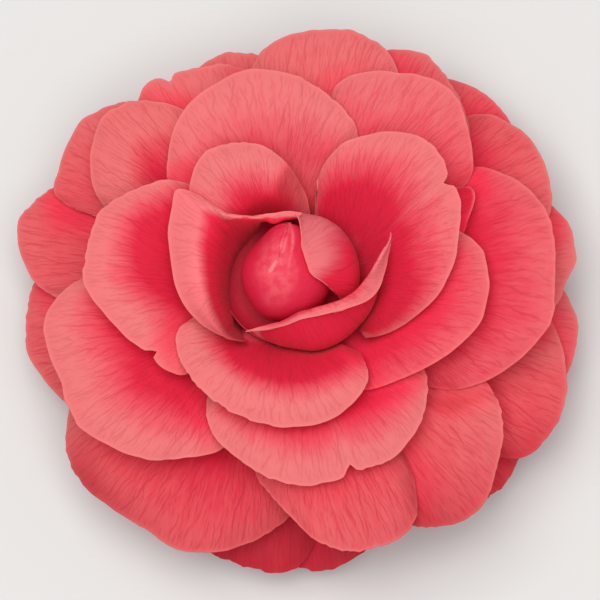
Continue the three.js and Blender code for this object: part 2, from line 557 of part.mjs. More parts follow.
let calyx = toManifold(receptacle());
SEPALS.forEach((petal) => {
  const pointAt = lay(petal, COLUMN_RADIUS - 0.8);
  clearUnder(mark(pointAt, 90, 60), ceiling);
  calyx = calyx.add(toManifold(bladeGeometry(pointAt, 8, 4, 0.8)));
});
add('calyx', fromManifold(calyx), CALYX_COLOUR, 0.7);

export default group;
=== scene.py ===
"""Camellia bloom as picked, lying on its calyx with its face up.

The petals are laid one under another from the bud outwards, each pressed down under the ones
before it, on the same heights as the solids. Tables are in millimetres over the calyx's seat.
"""

from __future__ import annotations

import logging
import math
from dataclasses import dataclass, field
from enum import Enum
from typing import Any, Sequence

import bmesh
import bpy
import numpy as np
from mathutils import Matrix, Vector


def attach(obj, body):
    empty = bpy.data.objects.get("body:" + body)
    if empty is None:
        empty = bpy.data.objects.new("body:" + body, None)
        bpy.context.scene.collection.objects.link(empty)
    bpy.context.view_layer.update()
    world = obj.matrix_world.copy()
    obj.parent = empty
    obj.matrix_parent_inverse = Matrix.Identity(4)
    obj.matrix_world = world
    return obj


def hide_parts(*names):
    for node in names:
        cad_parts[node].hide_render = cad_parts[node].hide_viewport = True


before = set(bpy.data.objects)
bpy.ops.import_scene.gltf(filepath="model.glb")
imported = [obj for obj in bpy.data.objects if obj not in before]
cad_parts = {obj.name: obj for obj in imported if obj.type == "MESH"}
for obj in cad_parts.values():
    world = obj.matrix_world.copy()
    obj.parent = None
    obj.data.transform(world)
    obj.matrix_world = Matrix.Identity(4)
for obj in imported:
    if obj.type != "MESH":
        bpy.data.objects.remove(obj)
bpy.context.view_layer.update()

LOG = logging.getLogger("camellia")
MM = 0.001
# Height of the calyx's seat over the floor, radius that the blades start from, and how soon
# their fibres fan out.
SEAT = 2.0
ROOT_RADIUS = 6.6
FAN = 1.6
# How steeply the room round a petal opens, and the distance between the middles of two blades.
FLARE = 0.2
CLEAR = 0.75
# Distance between the plans of two petals, so that no two have the same veins.
APART = 97.0

# Steps of a petal's grid next to its margins, beside a whole step.
EDGE_STEPS = (0.6, 0.3, 0.14)
# Waves of a petal's blade: length, height, and how close they keep to the rim.
WAVES = ((15.0, 0.20, 3.0), (7.0, 0.10, 6.0), (3.4, 0.045, 3.0))
# Unevenness of a rim's outline: length and depth. Its draws are kept apart from the waves'.
FRILLS = ((6.5, 0.12), (2.9, 0.07), (1.7, 0.03))
FRILL_SEED = 500

Array = np.ndarray
Rim = Sequence[tuple[float, float]]
Colour = tuple[float, float, float]

# Places at which a petal is sampled to find the room under it.
SAMPLES: tuple[Array, Array] = (np.linspace(0, 1, 151), np.linspace(0, 1, 111))


class Slot(Enum):
    """Material slots of the record."""

    HEART = "petal_heart"
    INNER = "petal_inner"
    OUTER = "petal_outer"
    CALYX = "calyx"


def curve(rows: Array, t: Array) -> Array:
    """Catmull-Rom curve through rows of numbers.

    Args:
        rows: One row for each point of the curve.
        t: Places along it, from 0 to 1.

    Returns:
        One row for each place.
    """
    p = np.asarray(rows, float)
    p = np.vstack([2 * p[0] - p[1], p, 2 * p[-1] - p[-2]])
    last = len(p) - 3
    x = np.clip(np.asarray(t, float), 0, 1) * last
    i = np.minimum(x.astype(int), last - 1)
    f = (x - i)[..., None]
    a, b, c, d = p[i], p[i + 1], p[i + 2], p[i + 3]
    return 0.5 * (2 * b + (c - a) * f + (2 * a - 5 * b + 4 * c - d) * f**2
                  + (3 * b - a - 3 * c + d) * f**3)


def places(count: int, both: bool) -> Array:
    """Places from 0 to 1, closer together at the end, or at both ends.

    Args:
        count: Number of steps.
        both: Whether they are closer at 0 too.

    Returns:
        One more place than steps.
    """
    steps = np.ones(count)
    steps[-3:] = EDGE_STEPS
    if both:
        steps[:3] = EDGE_STEPS[::-1]
    return np.concatenate([[0.0], np.cumsum(steps)]) / steps.sum()


def smooth(x: Array, low: float, high: float) -> Array:
    """Smooth step from 0 at low to 1 at high."""
    t = np.clip((x - low) / (high - low), 0, 1)
    return t * t * (3 - 2 * t)


@dataclass(frozen=True)
class PolarGrid:
    """Polar grid that carries the heights of the stack of petals.

    blend is how softly a petal meets the ceiling. bowl is how far round itself a petal keeps
    room along a ray, bowl_across and bowl_turn how far across the rays, in millimetres and in
    degrees at most.
    """

    inner: float = 5.0
    outer: float = 54.0
    step: float = 0.5
    blend: float = 1.2
    bowl: float = 7.0
    bowl_across: float = 7.6
    bowl_turn: int = 40
    nothing: float = 1000.0

    @property
    def radii(self) -> Array:
        """Radius of each ring of cells."""
        return np.arange(self.inner, self.outer + self.step / 2, self.step)

    @property
    def angles(self) -> Array:
        """Azimuth of each ray of cells, in degrees."""
        return np.arange(0.0, 360.0)

    def empty(self) -> Array:
        """Field with nothing in it."""
        return np.full((len(self.angles), len(self.radii)), self.nothing)

    def read(self, heights: Array, azimuth: Array, radius: Array) -> Array:
        """Height between the cells.

        Args:
            heights: Field to read.
            azimuth: Azimuths in degrees.
            radius: Radii, of the same shape.

        Returns:
            Heights of the same shape.
        """
        a = azimuth % 360
        r = np.clip((radius - self.inner) / self.step, 0, len(self.radii) - 1.001)
        i, k = a.astype(int) % 360, r.astype(int)
        fa, fr = a - np.floor(a), r - k
        j = (i + 1) % 360
        return ((heights[i, k] * (1 - fr) + heights[i, k + 1] * fr) * (1 - fa)
                + (heights[j, k] * (1 - fr) + heights[j, k + 1] * fr) * fa)

    def mark(self, points: Array) -> Array:
        """Lowest height of a surface in each cell that it passes over.

        Args:
            points: Points spread closely over the surface.

        Returns:
            Field of heights.
        """
        x, y, z = points.reshape(-1, 3).T
        k = np.rint((np.hypot(x, y) - self.inner) / self.step).astype(int)
        i = np.rint(np.degrees(np.arctan2(y, x))).astype(int) % 360
        heights, held = self.empty(), (k >= 0) & (k < len(self.radii))
        np.minimum.at(heights, (i[held], k[held]), z[held])
        return heights

    def clear_under(self, heights: Array, flare: float = FLARE, clear: float = CLEAR) -> Array:
        """Room that a petal leaves under it: every cell lowers a bowl round itself.

        Args:
            heights: Lowest heights of the petal.
            flare: How steeply the bowl opens.
            clear: Distance kept between the middles of two blades.

        Returns:
            Highest heights for what comes under it.
        """
        base = np.where(heights < self.nothing, heights - clear, self.nothing)
        out = base.copy()
        for k in range(1, int(self.bowl / self.step) + 1):
            lift = flare * (k * self.step) ** 2
            out[:, k:] = np.minimum(out[:, k:], base[:, :-k] + lift)
            out[:, :-k] = np.minimum(out[:, :-k], base[:, k:] + lift)
        swept = out.copy()
        for n in range(1, self.bowl_turn + 1):
            across = self.radii * math.radians(n)
            lift = np.where(across < self.bowl_across, flare * across**2, self.nothing)
            swept = np.minimum(swept, np.roll(out, n, 0) + lift)
            swept = np.minimum(swept, np.roll(out, -n, 0) + lift)
        return swept

    def press(self, wanted: Array, ceiling: Array) -> Array:
        """Heights of a petal pressed softly under a ceiling.

        Args:
            wanted: Heights that it would take.
            ceiling: Highest heights that it may take.

        Returns:
            Heights that it takes.
        """
        near = np.maximum(self.blend - np.abs(wanted - ceiling), 0) / self.blend
        low = np.minimum(wanted, ceiling) - near**2 * self.blend * 0.25
        low = 0.25 * np.roll(low, 1, 0) + 0.5 * low + 0.25 * np.roll(low, -1, 0)
        pad = np.concatenate([low[:, :1], low, low[:, -1:]], 1)
        return 0.25 * pad[:, :-2] + 0.5 * pad[:, 1:-1] + 0.25 * pad[:, 2:]


GRID = PolarGrid()


def keep(bm: bmesh.types.BMesh, name: str, node: str) -> bpy.types.Object:
    """Turn a finished mesh into a piece of the flower.

    Args:
        bm: Mesh, freed here.
        name: Name of the piece.
        node: Node that the piece stands for, or an empty text.

    Returns:
        The piece, riding the frame.
    """
    mesh = bpy.data.meshes.new(name)
    for face in bm.faces:
        face.smooth = True
    bm.to_mesh(mesh)
    bm.free()
    piece = bpy.data.objects.new(name, mesh)
    bpy.context.scene.collection.objects.link(piece)
    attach(piece, "root")
    if node:
        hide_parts(node)
    return piece


@dataclass
class Petal:
    """What every petal has: a name, a node it stands for, a thin blade and its colouring.

    bands are widths of the pale border, the petal's own colour and partly painted light, falls
    how far the rim darkens with painted shade where it turns away from the light, and blushes
    how red the border is, all evenly spaced across the petal. fade is the width of the falls,
    and tuck how much redder the petal is with crimson painted shade where others lie over it.
    dusk darkens the whole petal with painted shade, crisp sharpens the border's inner edge,
    hollow darkens the inside beyond it with painted shade, and pale_ends says whether the
    border runs down each side too. The blade thins to rim_share of its thickness over the width
    thinning, corner rounds the border where sides meet, and least_band is the narrowest that a
    border counts as.
    """

    name: str
    node: str
    slot: Slot
    columns: int = 88
    rows: int = 54
    thickness: float = 0.46
    seed: int = 0
    bands: Sequence[float] = (8.0, 8.0)
    falls: Sequence[float] = (0.0, 0.0)
    blushes: Sequence[float] = (0.0, 0.0)
    fade: float = 7.0
    tuck: float = 1.0
    dusk: float = 0.0
    crisp: float = 1.0
    hollow_shade: float = 0.0
    pale_ends: tuple[bool, bool] = (True, True)
    rim_share: float = 0.4
    thinning: float = 2.6
    corner: float = 3.0
    least_band: float = 0.4

    def points(self, u: Array, v: Array) -> Array:
        """Points of the middle of the blade, at places u across and v from root to rim."""
        raise NotImplementedError

    def covered(self, points: Array) -> Array:
        """How near each point is to the petals that lie over this one, from 0 to 1."""
        return np.zeros(points.shape[:2])

    def to_margin(self, points: Array) -> Array:
        """Distance from each point to the nearest margin.

        Args:
            points: Points of the blade, u by v.

        Returns:
            Distances in millimetres.
        """
        along = np.linalg.norm(np.diff(points, axis=1), axis=2)
        along = np.pad(np.cumsum(along[:, ::-1], 1)[:, ::-1], ((0, 0), (0, 1)))
        across = np.linalg.norm(np.diff(points, axis=0), axis=2)
        left = np.pad(np.cumsum(across, 0), ((1, 0), (0, 0)))
        # A side with no border counts as further off than any petal is long.
        far = [0.0 if pale else GRID.outer for pale in self.pale_ends]
        side = np.minimum(left + far[0], left[-1:] - left + far[1])
        near = np.maximum(self.corner - np.abs(along - side), 0) / self.corner
        return np.maximum(np.minimum(along, side) - near**2 * (self.corner / 4), 0)

    def relief(self, u: Array, v: Array, points: Array) -> Array:
        """Add the small waves of a living petal along its rim.

        Args:
            u: Places across the petal.
            v: Places from root to rim.
            points: Points of the blade.

        Returns:
            The points, lifted along the blade's normal.
        """
        draw = np.random.default_rng(self.seed)
        width = np.linalg.norm(np.diff(points[:, -1], axis=0), axis=1).sum()
        lift = np.zeros(points.shape[:2])
        for length, amount, reach in WAVES:
            phase, shift = draw.uniform(0, 2 * math.pi, 2)
            wave = np.sin(2 * math.pi * width / length * u[:, None] + phase
                          + 1.4 * np.sin(3.1 * v[None, :] + shift))
            lift += amount * wave * v[None, :] ** reach
        across = np.gradient(points, axis=0)
        along = np.gradient(points, axis=1)
        normal = np.cross(along, across)
        normal /= np.maximum(np.linalg.norm(normal, axis=2, keepdims=True), 1e-9)
        return points + normal * lift[..., None]

    def marks(self, u: Array, placed: Array) -> dict[str, Array]:
        """Numbers that the finish reads at each point.

        Args:
            u: Places across the petal.
            placed: Points of the blade.

        Returns:
            The numbers of all points, by name.
        """
        margin = self.to_margin(placed)
        band = curve([[b] for b in self.bands], u)
        # Painted shade where the rim turns away from the light, and in the hollow inside the border.
        fall = curve([[f] for f in self.falls], u) * (1 - smooth(margin, 1.0, self.fade))
        fall = np.maximum(fall, self.hollow_shade * smooth(margin - band, 0.5, 6.0))
        blush = np.clip(curve([[b] for b in self.blushes], u), 0, 1)
        ripe = 1 + (margin / np.maximum(band, self.least_band) - 1) * self.crisp * (1 - blush)
        # near carries crimson painted shade close under other petals, dusk painted shade over the whole
        # petal.
        return {"margin": margin, "ripe": np.clip(ripe, -1, 3), "fall": np.clip(fall, 0, 1),
                "near": self.covered(placed) * self.tuck,
                "dusk": np.full(margin.shape, self.dusk)}

    def build(self) -> bpy.types.Object:
        """Make the petal's object: a grid laid on its surface, thickened by a modifier.

        Returns:
            The petal.
        """
        u, v = places(self.columns, True), places(self.rows, False)
        placed = self.relief(u, v, self.points(u, v))
        numbers = self.marks(u, placed)
        thick = smooth(numbers["margin"], 0.0, self.thinning)
        width = np.linalg.norm(np.diff(placed[:, -1], axis=0), axis=1).sum()
        length = np.linalg.norm(np.diff(placed[self.columns // 2], axis=0), axis=1).sum()
        bm = bmesh.new()
        bmesh.ops.create_grid(bm, x_segments=self.columns, y_segments=self.rows, size=1)
        layers = {name: bm.verts.layers.float.new(name) for name in numbers}
        plan = bm.loops.layers.uv.new("plan")
        blade = bm.verts.layers.deform.verify()
        cells = {}
        for vert in bm.verts:
            i = round((1 - vert.co.x) / 2 * self.columns)
            j = round((1 + vert.co.y) / 2 * self.rows)
            cells[vert] = (i, j)
            vert.co = Vector(placed[i, j] + (0, 0, SEAT)) * MM
            vert[blade][0] = float(thick[i, j])
            for name, layer in layers.items():
                vert[layer] = float(numbers[name][i, j])
        for face in bm.faces:
            for loop in face.loops:
                i, j = cells[loop.vert]
                loop[plan].uv = ((u[i] - 0.5) * width + APART * self.seed, v[j] * length)
        piece = keep(bm, self.name, self.node)
        wall = piece.modifiers.new("blade", "SOLIDIFY")
        wall.thickness = self.thickness * MM
        wall.offset = 0.0
        piece.vertex_groups.new(name="body")
        wall.vertex_group, wall.thickness_vertex_group = "body", self.rim_share
        return piece


@dataclass
class OpenPetal(Petal):
    """Petal that opens outwards and lies on the ones below it.

    The rim is given as azimuth and reach. root, crest and tip are the heights at the
    receptacle, of the blade if it ran on, and of the rolled rim. sides is the droop of both
    sides, lean the rise of the anticlockwise one over the other, claw the half width at the
    root in degrees. bend is how fast the blade levels out, which it has done at the share level
    of its longest reach. From the share roll of its reach on it rolls down, by the share drop
    of the way to the tip. start is the radius that the blade starts from. Each nick is an
    azimuth, a depth and a width. hidden is the distance from another petal within which the
    blade counts as fully and as barely hidden by it.
    """

    rim: Rim = ()
    root: float = 0.0
    crest: float = 0.0
    tip: float = 0.0
    sides: float = 2.0
    lean: float = 0.0
    claw: float = 24.0
    bend: float = 2.2
    level: float = 0.97
    roll: float = 0.62
    drop: float = 0.75
    start: float = ROOT_RADIUS
    nicks: Sequence[tuple[float, float, float]] = ()
    hidden: tuple[float, float] = (0.5, 5.5)
    heights: Array | None = None
    ceiling: Array | None = None

    @property
    def middle(self) -> float:
        """Azimuth halfway between the rim's ends."""
        return 0.5 * (self.rim[0][0] + self.rim[-1][0])

    def rim_reach(self) -> tuple[Array, Array]:
        """Follow the rim round the bloom.

        Returns:
            Its smoothed reach along every ray, and how far to the side each ray lies, from -1
            at one end of the rim to 1 at the other.
        """
        dense = curve(self.rim, np.linspace(0, 1, 400))
        edge = dense[:, 0] - self.middle
        offset = (GRID.angles - self.middle + 180) % 360 - 180
        # A ray takes the furthest point of the rim that lies within little more than a degree.
        near = np.abs(offset[:, None] - edge[None, :]) < 1.2
        found = np.where(near, dense[None, :, 1], 0).max(1)
        inside = np.flatnonzero(found)
        low, high = inside[offset[inside].argmin()], inside[offset[inside].argmax()]
        filled = np.where(found > 0, found, np.where(offset < 0, found[low], found[high]))
        # The reach is smoothed over a few rays to each side.
        rays = 6
        weights = np.exp(-0.5 * (np.arange(-rays, rays + 1) / 2.5) ** 2)
        ringed = np.r_[filled[-rays:], filled, filled[:rays]]
        reach = np.convolve(ringed, weights / weights.sum(), "valid")
        side = (offset - 0.5 * (edge.max() + edge.min())) / (0.5 * (edge.max() - edge.min()))
        return reach, side

    def rest_heights(self) -> Array:
        """Work out the heights that the petal would take with nothing over it.

        Returns:
            Field of heights.
        """
        reach, side = self.rim_reach()
        # The heights run on a little past the root, the rim and the sides.
        run = GRID.radii[None, :] - ROOT_RADIUS
        s = np.maximum(run / (reach[:, None] - ROOT_RADIUS), -0.05)
        whole = run / (self.level * reach.max() - ROOT_RADIUS)
        rise = 1 - (1 - np.clip(whole, -0.05, 1)) ** self.bend
        over = np.clip((s - self.roll) / (1 - self.roll), 0, 1.6)
        far = np.clip(side, -1.3, 1.3)[:, None]
        droop = (self.lean * far - self.sides * far**2) * np.clip(whole, 0, 1.2)
        return (self.root + (self.crest - self.root) * rise
                - self.drop * (self.crest - self.tip) * over**2 + droop)

    def plan(self, u: Array, v: Array, nicked: bool = True) -> tuple[Array, Array]:
        """Azimuths and radii of places on the petal.

        Args:
            u: Places across.
            v: Places from root to rim.
            nicked: Whether the rim has its nicks.

        Returns:
            Azimuths in degrees and radii, u by v.
        """
        edge = curve(self.rim, u)
        reach = edge[:, 1].copy()
        if nicked:
            draw = np.random.default_rng(self.seed + FRILL_SEED)
            run = np.radians(edge[:, 0]) * edge[:, 1]
            turn, slope = np.gradient(run), np.gradient(edge[:, 1])
            round_about = turn**2 / (turn**2 + slope**2 + 1e-9)
            for length, amount in FRILLS:
                phase, slow = draw.uniform(0, 2 * math.pi, 2)
                reach += (amount * np.sin(2 * math.pi * run / length + phase) * round_about**2
                          * (0.6 + 0.6 * np.sin(run / 9.0 + slow)))
            for at, depth, width in self.nicks:
                reach -= depth * np.exp(-(((edge[:, 0] - at) / width) ** 2))
        start = self.middle + (u * 2 - 1) * self.claw
        fan = 1 - (1 - v) ** FAN
        azimuth = start[:, None] + (edge[:, 0] - start)[:, None] * fan[None, :]
        return azimuth, self.start + (reach - self.start)[:, None] * v[None, :]

    def lay(self, ceiling: Array) -> Array:
        """Press the petal under the ceiling, and give the room that is left under it too."""
        self.heights, self.ceiling = GRID.press(self.rest_heights(), ceiling), ceiling
        return np.minimum(ceiling, GRID.clear_under(GRID.mark(self.points(*SAMPLES, False))))

    def covered(self, points: Array) -> Array:
        """How near each point is to the petals that lie over this one.

        Args:
            points: Points of the blade.

        Returns:
            0 in the open, 1 where another petal touches.
        """
        azimuth = np.degrees(np.arctan2(points[..., 1], points[..., 0]))
        radius = np.hypot(points[..., 0], points[..., 1])
        gap = np.clip(GRID.read(self.ceiling, azimuth, radius) - points[..., 2], 0, 20)
        return 1 - smooth(np.sqrt(gap / FLARE), *self.hidden)

    def points(self, u: Array, v: Array, nicked: bool = True) -> Array:
        """Points of the middle of the blade on the pressed heights.

        Args:
            u: Places across.
            v: Places from root to rim.
            nicked: Whether the rim has its nicks.

        Returns:
            One point for each pair, in millimetres over the seat.
        """
        azimuth, radius = self.plan(u, v, nicked)
        z = GRID.read(self.heights, azimuth, radius)
        turn = np.radians(azimuth)
        return np.stack([radius * np.cos(turn), radius * np.sin(turn), z], -1)


@dataclass
class WrappedPetal(Petal):
    """Petal that stands up round the bud.

    foot is the height of its root. Each fibre is the azimuth at the root, the azimuth at the
    rim, and the radius and height of points from the foot to the rim. It keeps less room than
    an open petal: flare and clear say how much.
    """

    foot: float = 20.0
    fibres: Sequence[tuple[float, float, Rim]] = ()
    columns: int = 110
    rows: int = 72
    flare: float = 1.6
    clear: float = 0.5

    def points(self, u: Array, v: Array) -> Array:
        """Points of the middle of the blade, through the fibres.

        Args:
            u: Places across.
            v: Places from root to rim.

        Returns:
            One point for each pair, in millimetres over the seat.
        """
        ends = curve([[f[0], f[1]] for f in self.fibres], u)
        runs = np.array([curve(((ROOT_RADIUS, self.foot), *f[2]), v) for f in self.fibres])
        radius, z = np.stack([curve(runs[:, j], u) for j in range(len(v))], 1).transpose(2, 0, 1)
        fan = 1 - (1 - v) ** FAN
        turn = np.radians(ends[:, :1] + (ends[:, 1:] - ends[:, :1]) * fan[None, :])
        return np.stack([radius * np.cos(turn), radius * np.sin(turn), z], -1)

    def lay(self, ceiling: Array) -> Array:
        """Give the room that is left under the ceiling and this petal too."""
        marks = GRID.mark(self.points(*SAMPLES))
        return np.minimum(ceiling, GRID.clear_under(marks, self.flare, self.clear))


def turn_petal(turn: int, at: int, **sizes: Any) -> OpenPetal:
    """Petal of a turn, 2 being next to the heart, named for the turn and its azimuth."""
    slot = Slot.INNER if turn < 4 else Slot.OUTER
    return OpenPetal(f"turn{turn}_{at:03d}", f"petal_ring{turn}_az{at:03d}", slot, **sizes)


def even_rim(at: float, reach: float, half: float, shape: Rim) -> Rim:
    """Rim that is alike on both sides.

    Args:
        at: Azimuth of its middle.
        reach: Radius of its middle.
        half: Half its width in degrees.
        shape: Shares of that half, and how far the rim falls short there.

    Returns:
        The rim.
    """
    mirrored = [(-side, short) for side, short in shape[:0:-1]]
    return [(at + side * half, reach - short) for side, short in (*mirrored, *shape)]


def back_petal(at: int, reach: float, root: float, crest: float, tip: float) -> OpenPetal:
    """Petal with an even round rim, as the ones at the back of the bloom have.

    Args:
        at: Azimuth of its middle.
        reach: Radius of its rim.
        root: Height at the receptacle.
        crest: Height of the blade if it ran on.
        tip: Height of the rolled rim.

    Returns:
        The petal.
    """
    rim = even_rim(at, reach, 24, ((0, 0), (0.5, 1), (0.83, 4), (1, 9)))
    return OpenPetal(f"back_{at:03d}", f"petal_ring6_az{at:03d}", Slot.OUTER, rim=rim, root=root,
                     crest=crest, tip=tip, sides=0.6, claw=16, columns=48, rows=30)


@dataclass
class Bud:
    """Inner petals still rolled to a ball with a pointed tip that leans to the back.

    centre is the height of the ball's middle. room_tip is where the tip of the ball that makes
    room under the bud points, tip where the one that is seen points, and reach and sharp are
    the tip's length and slimness. Each seam is the margin of a rolled petal: its angle round
    the tip, its twist and its height. Each step of the dish goes inwards and down from its rim.
    """

    radius: float = 7.7
    centre: float = 29.5
    room_tip: tuple[float, float, float] = (0.5, 8.2, 5.4)
    tip: tuple[float, float, float] = (0.9, 7.0, 6.7)
    reach: float = 2.4
    sharp: float = 9.0
    rounds: int = 200
    levels: int = 130
    seams: Sequence[tuple[float, float, float]] = (
        (-2.15, 0.5, 0.30), (-1.62, -0.35, 0.34), (-1.15, -0.5, 0.24), (1.2, 0.6, 0.3))
    dish: float = 10.9
    dish_centre: tuple[float, float] = (-0.3, -0.2)
    dish_depth: float = 3.8
    dish_rim: float = 27.4
    dish_steps: Sequence[tuple[float, float]] = (
        (0.25, 0.5), (0.35, 0.5), (0.5, 0.5), (0.7, 0.45), (0.9, 0.35), (1.1, 0.2), (1.2, 0.0))

    def room(self, ceiling: Array) -> Array:
        """Room that the bud leaves under it.

        Args:
            ceiling: Room that is left so far.

        Returns:
            The room that is left under the bud too.
        """
        rise, turn = np.meshgrid(np.linspace(-90, 90, 121), np.linspace(0, 360, 241))
        a, b = np.radians(turn), np.radians(rise)
        way = np.stack([np.cos(a) * np.cos(b), np.sin(a) * np.cos(b), np.sin(b)], -1)
        axis = np.array(self.room_tip) / np.linalg.norm(self.room_tip)
        reach = self.radius + self.reach * np.maximum(way @ axis, 0) ** self.sharp
        points = way * reach[..., None] + (0, 0, self.centre)
        return np.minimum(ceiling, GRID.clear_under(GRID.mark(points)))

    def folds(self, fall: float, turn: float) -> tuple[float, float]:
        """Relief of the rolled petals.

        Args:
            fall: Angle from the tip, in radians.
            turn: Angle round the tip, in radians.

        Returns:
            Height in millimetres, and how near the place is to the margin of a petal.
        """
        # Slow swells over the whole ball, then a step at the margin of each rolled petal.
        height = 0.10 * math.sin(3 * turn + 2.2 * fall) * math.sin(1.7 * fall)
        height += 0.07 * math.sin(5 * fall + 2 * turn + 1.0)
        edge = 0.0
        for at, twist, lift in self.seams:
            off = self.radius * math.sin(fall) * math.sin(turn - at - twist * fall)
            if math.cos(turn - at - twist * fall) < 0:
                continue
            long = float(1 - smooth(np.array(fall), 0.35, 0.95))
            step = float(smooth(np.array(off), -0.16, 0.16)) * math.exp(-max(off, 0) / 1.3)
            height += lift * step * long
            edge = max(edge, math.exp(-(((off - 0.1) / 0.24) ** 2)) * long)
        return height, edge

    def build(self) -> bpy.types.Object:
        """Make the bud from a sphere whose pole is turned to the tip.

        Returns:
            The bud.
        """
        bm = bmesh.new()
        bmesh.ops.create_uvsphere(bm, u_segments=self.rounds, v_segments=self.levels, radius=1)
        lean = Vector((0, 0, 1)).rotation_difference(Vector(self.tip)).to_matrix()
        edge = bm.verts.layers.float.new("edge")
        for vert in bm.verts:
            way = vert.co.normalized()
            fall = math.acos(max(-1.0, min(1.0, way.z)))
            height, vert[edge] = self.folds(fall, math.atan2(way.y, way.x))
            reach = self.radius + self.reach * max(way.z, 0) ** self.sharp + height
            vert.co = (lean @ way * reach + Vector((0, 0, self.centre + SEAT))) * MM
        return keep(bm, "heart", "heart_bud")

    def foot(self) -> bpy.types.Object:
        """Make the bases of the rolled petals: a dish that the bud stands in.

        Returns:
            The dish.
        """
        bm = bmesh.new()
        bmesh.ops.create_cone(bm, cap_ends=True, segments=96, radius1=self.dish, radius2=self.dish,
                              depth=self.dish_depth)
        floor = max(bm.faces, key=lambda face: face.calc_center_median().z)
        for inward, down in self.dish_steps:
            bmesh.ops.inset_individual(bm, faces=[floor], thickness=inward, depth=-down)
        centre = Vector((*self.dish_centre, self.dish_rim - self.dish_depth / 2 + SEAT))
        bmesh.ops.translate(bm, verts=bm.verts, vec=centre)
        bmesh.ops.scale(bm, verts=bm.verts, vec=(MM, MM, MM))
        return keep(bm, "heart_foot", "")
